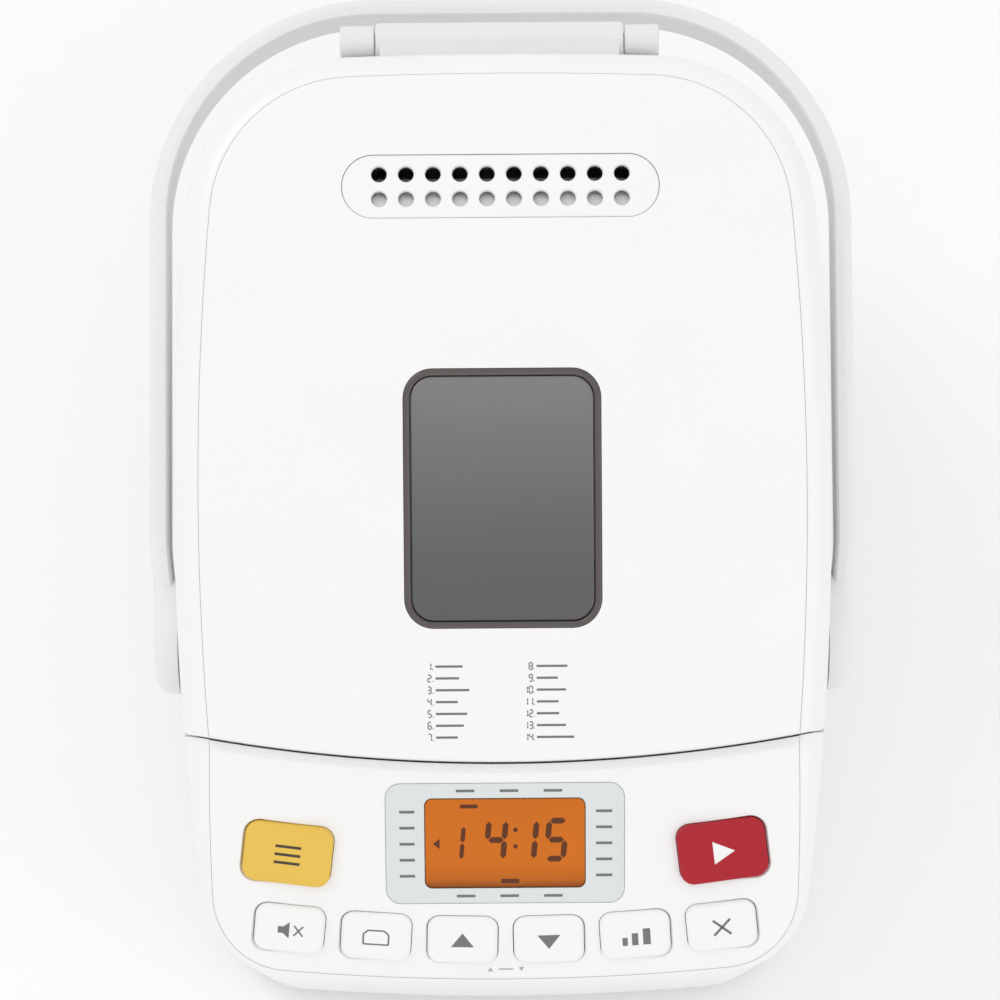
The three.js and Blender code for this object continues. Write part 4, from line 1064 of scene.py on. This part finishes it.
def make_element():
    low, high = extent("heating_element")
    radius, bend, turn_in, gate = 3.25, 24, 7, ELEMENT_GATE
    y, z = (low.y + high.y) / 2, (low.z + high.z) / 2
    front, rear, right = low.y + radius, high.y - radius, high.x - radius
    corners = [((low.x, y - gate, z), 0), ((-right, y - gate, z), turn_in), ((-right, front, z), bend),
               ((right, front, z), bend), ((right, rear, z), bend), ((-right, rear, z), bend),
               ((-right, y + gate, z), turn_in), ((low.x, y + gate, z), 0)]
    dress(tube("heater_tube", corners, radius), "cabinet", steel, ["heating_element"], angle=60)


def make_oven():
    floor, corner = oven_low.z, 26

    def shape(grow):
        return rounded_rect(OVEN_WIDTH + 2 * grow, OVEN_LENGTH + 2 * grow, corner + grow, OVEN_Y, 2)
    low, high = raised(parting_z, -DECK_DROP + GAP), raised(parting_z, -DECK_DROP + GAP + SHEET)
    bends = [math.pi / 2 * k / 6 for k in range(7)]

    def bowl(grow, bottom, bend, top):
        rings = [ring(shape(grow), bend * (1 - math.sin(a)), bottom + bend * (1 - math.cos(a)))
                 for a in bends]
        return loft("tool", *rings, ring(shape(grow), 0, top))
    tub = bowl(SHEET, floor, 6, high)
    tub.name = "oven_tub"
    flange = prism("tool", shape(SHEET + OVEN_LIP), low, high)
    gates = []
    element_low, element_high = extent("heating_element")
    middle, z = (element_low.y + element_high.y) / 2, (element_low.z + element_high.z) / 2
    for side in (-1, 1):
        gates.append(move(rod(6.8, -6, 6, 32), (-(OVEN_WIDTH + SHEET) / 2, middle + ELEMENT_GATE * side, z),
                          (0, math.pi / 2, 0)))
    probe_low, probe_high = extent("temperature_probe")
    probe_x, probe_z = (probe_low.x + probe_high.x) / 2, (probe_low.z + probe_high.z) / 2
    gates.append(move(rod(3.3, -6, 6, 24), (probe_x, OVEN_Y - (OVEN_LENGTH + SHEET) / 2, probe_z),
                      (math.pi / 2, 0, 0)))
    shaft = move(rod(7, floor - 5, floor + 8), (0, OVEN_Y, 0))
    cut(union(tub, flange), bowl(0, floor + SHEET, 4.8, ABOVE), shaft, *gates)
    dress(tub, "cabinet", aluminium, ["oven_chamber"], angle=40)


def make_paddle():
    base, shaft_top = extent("kneading_paddle")[0].z, extent("pan_shaft")[1].z
    y = (pan_low.y + pan_high.y) / 2
    bore, roof, top = 4.4, shaft_top + 0.5, shaft_top + 5
    hub_profile = [(bore, base), (8.6, base), (9, base + 0.5), (8.6, base + 3), (7.2, top - 4),
                   (6.5, top - 1.4), (5.6, top - 0.4), (4.4, top), (0, top), (0, roof), (bore, roof)]
    hub = turned("paddle", hub_profile, 48, closed=True)

    def curve(a, b, c, steps=10):
        shares = [k / steps for k in range(1, steps + 1)]
        return [tuple((1 - t) ** 2 * a[i] + 2 * t * (1 - t) * b[i] + t ** 2 * c[i] for i in (0, 1))
                for t in shares]
    outline = [(5, base + 0.2), (43.4, base + 0.2)] + curve((43.4, base + 0.2), (47.2, base + 12), (34, top + 3))
    outline += curve((34, top + 3), (16, top + 2), (5, top - 1))
    n, half = len(outline), 1.6
    blade = new_object("tool", [(x, -half, z) for x, z in outline] + [(x, half, z) for x, z in outline],
                       [tuple(range(n)), tuple(reversed(range(n, 2 * n)))]
                       + [(i, n + i, n + (i + 1) % n, (i + 1) % n) for i in range(n)])
    face_out(blade)
    soften(blade, 0.9, 50, 3)
    cut(union(hub, blade), rod(bore, base - 4, roof, 48))
    move(hub, (0, y, 0))
    dress(hub, "paddle", non_stick, ["kneading_paddle"], angle=45)


def make_feet():
    for end in ("front", "rear"):
        for side in ("left", "right"):
            low, high = extent(f"foot_{end}_{side}")
            radius, top = (high.x - low.x) / 2, high.z
            profile = [(0, 0), (radius - 3.4, 0), (radius - 2.9, 0.5), (radius - 2.4, 0), (radius - 1.2, 0),
                       (radius - 0.35, 0.35), (radius, 1.2), (radius, top), (0, top)]
            pad = move(turned(f"foot_pad_{end}_{side}", profile, 48),
                       ((low.x + high.x) / 2, (low.y + high.y) / 2, 0))
            dress(pad, "cabinet", rubber, [f"foot_{end}_{side}"])


# ---- stage, light and camera ------------------------------------------------------------------
def make_stage():
    size = 6000
    corners = [(-size, -size, 0), (size, -size, 0), (size, size, 0), (-size, size, 0)]
    floor = new_object("floor", corners, [(0, 1, 2, 3)])
    material = bpy.data.materials.new("studio_floor")
    material.use_nodes = True
    shader = material.node_tree.nodes["Principled BSDF"]
    shader.inputs["Base Color"].default_value = (0.93, 0.93, 0.93, 1)
    shader.inputs["Roughness"].default_value = 0.9
    floor.data.materials.append(material)
    world = bpy.data.worlds.new("studio")
    world.use_nodes = True
    world.node_tree.nodes["Background"].inputs["Color"].default_value = (1, 1, 1, 1)
    world.node_tree.nodes["Background"].inputs["Strength"].default_value = 0.94
    bpy.context.scene.world = world
    for name, place, size_m, watts in (("key_light", (-1.3, 1.1, 2.3), 1.3, 9),
                                       ("fill_light", (1.7, -0.7, 1.7), 1.6, 4),
                                       ("front_light", (-0.2, -2.0, 1.1), 1.5, 2)):
        light = bpy.data.lights.new(name, "AREA")
        light.size = size_m
        light.energy = watts
        lamp = bpy.data.objects.new(name, light)
        lamp.location = place
        lamp.rotation_euler = (Vector((0, 0, 0.15)) - Vector(place)).to_track_quat("-Z", "Y").to_euler()
        bpy.context.scene.collection.objects.link(lamp)


def make_camera():
    """Almost straight down, from slightly in front, as far away as a catalogue shot."""
    elevation, distance, roll = math.radians(83.5), 2.0, math.radians(-0.41)
    aim = Vector((-0.0009, -0.00245, 0.2))
    camera = bpy.data.cameras.new("camera")
    camera.lens = 202.2
    camera.sensor_width = 36
    view = bpy.data.objects.new("camera", camera)
    view.location = aim + distance * Vector((0, -math.cos(elevation), math.sin(elevation)))
    turn = Euler((math.pi / 2 - elevation, 0, 0)).to_matrix() @ Euler((0, 0, roll)).to_matrix()
    view.rotation_euler = turn.to_euler()
    bpy.context.scene.collection.objects.link(view)
    bpy.context.scene.camera = view
    bpy.context.scene.view_settings.view_transform = "Standard"


for step in (make_camera, make_stage, dress_cad_nodes, make_body, make_lid, make_window, make_vent,
             make_panel, make_keys, make_display, make_display_prints, make_programme_list, make_key_prints,
             make_handle, make_hinge, make_pan, make_liner, make_bail, make_element, make_oven, make_paddle,
             make_feet):
    step()
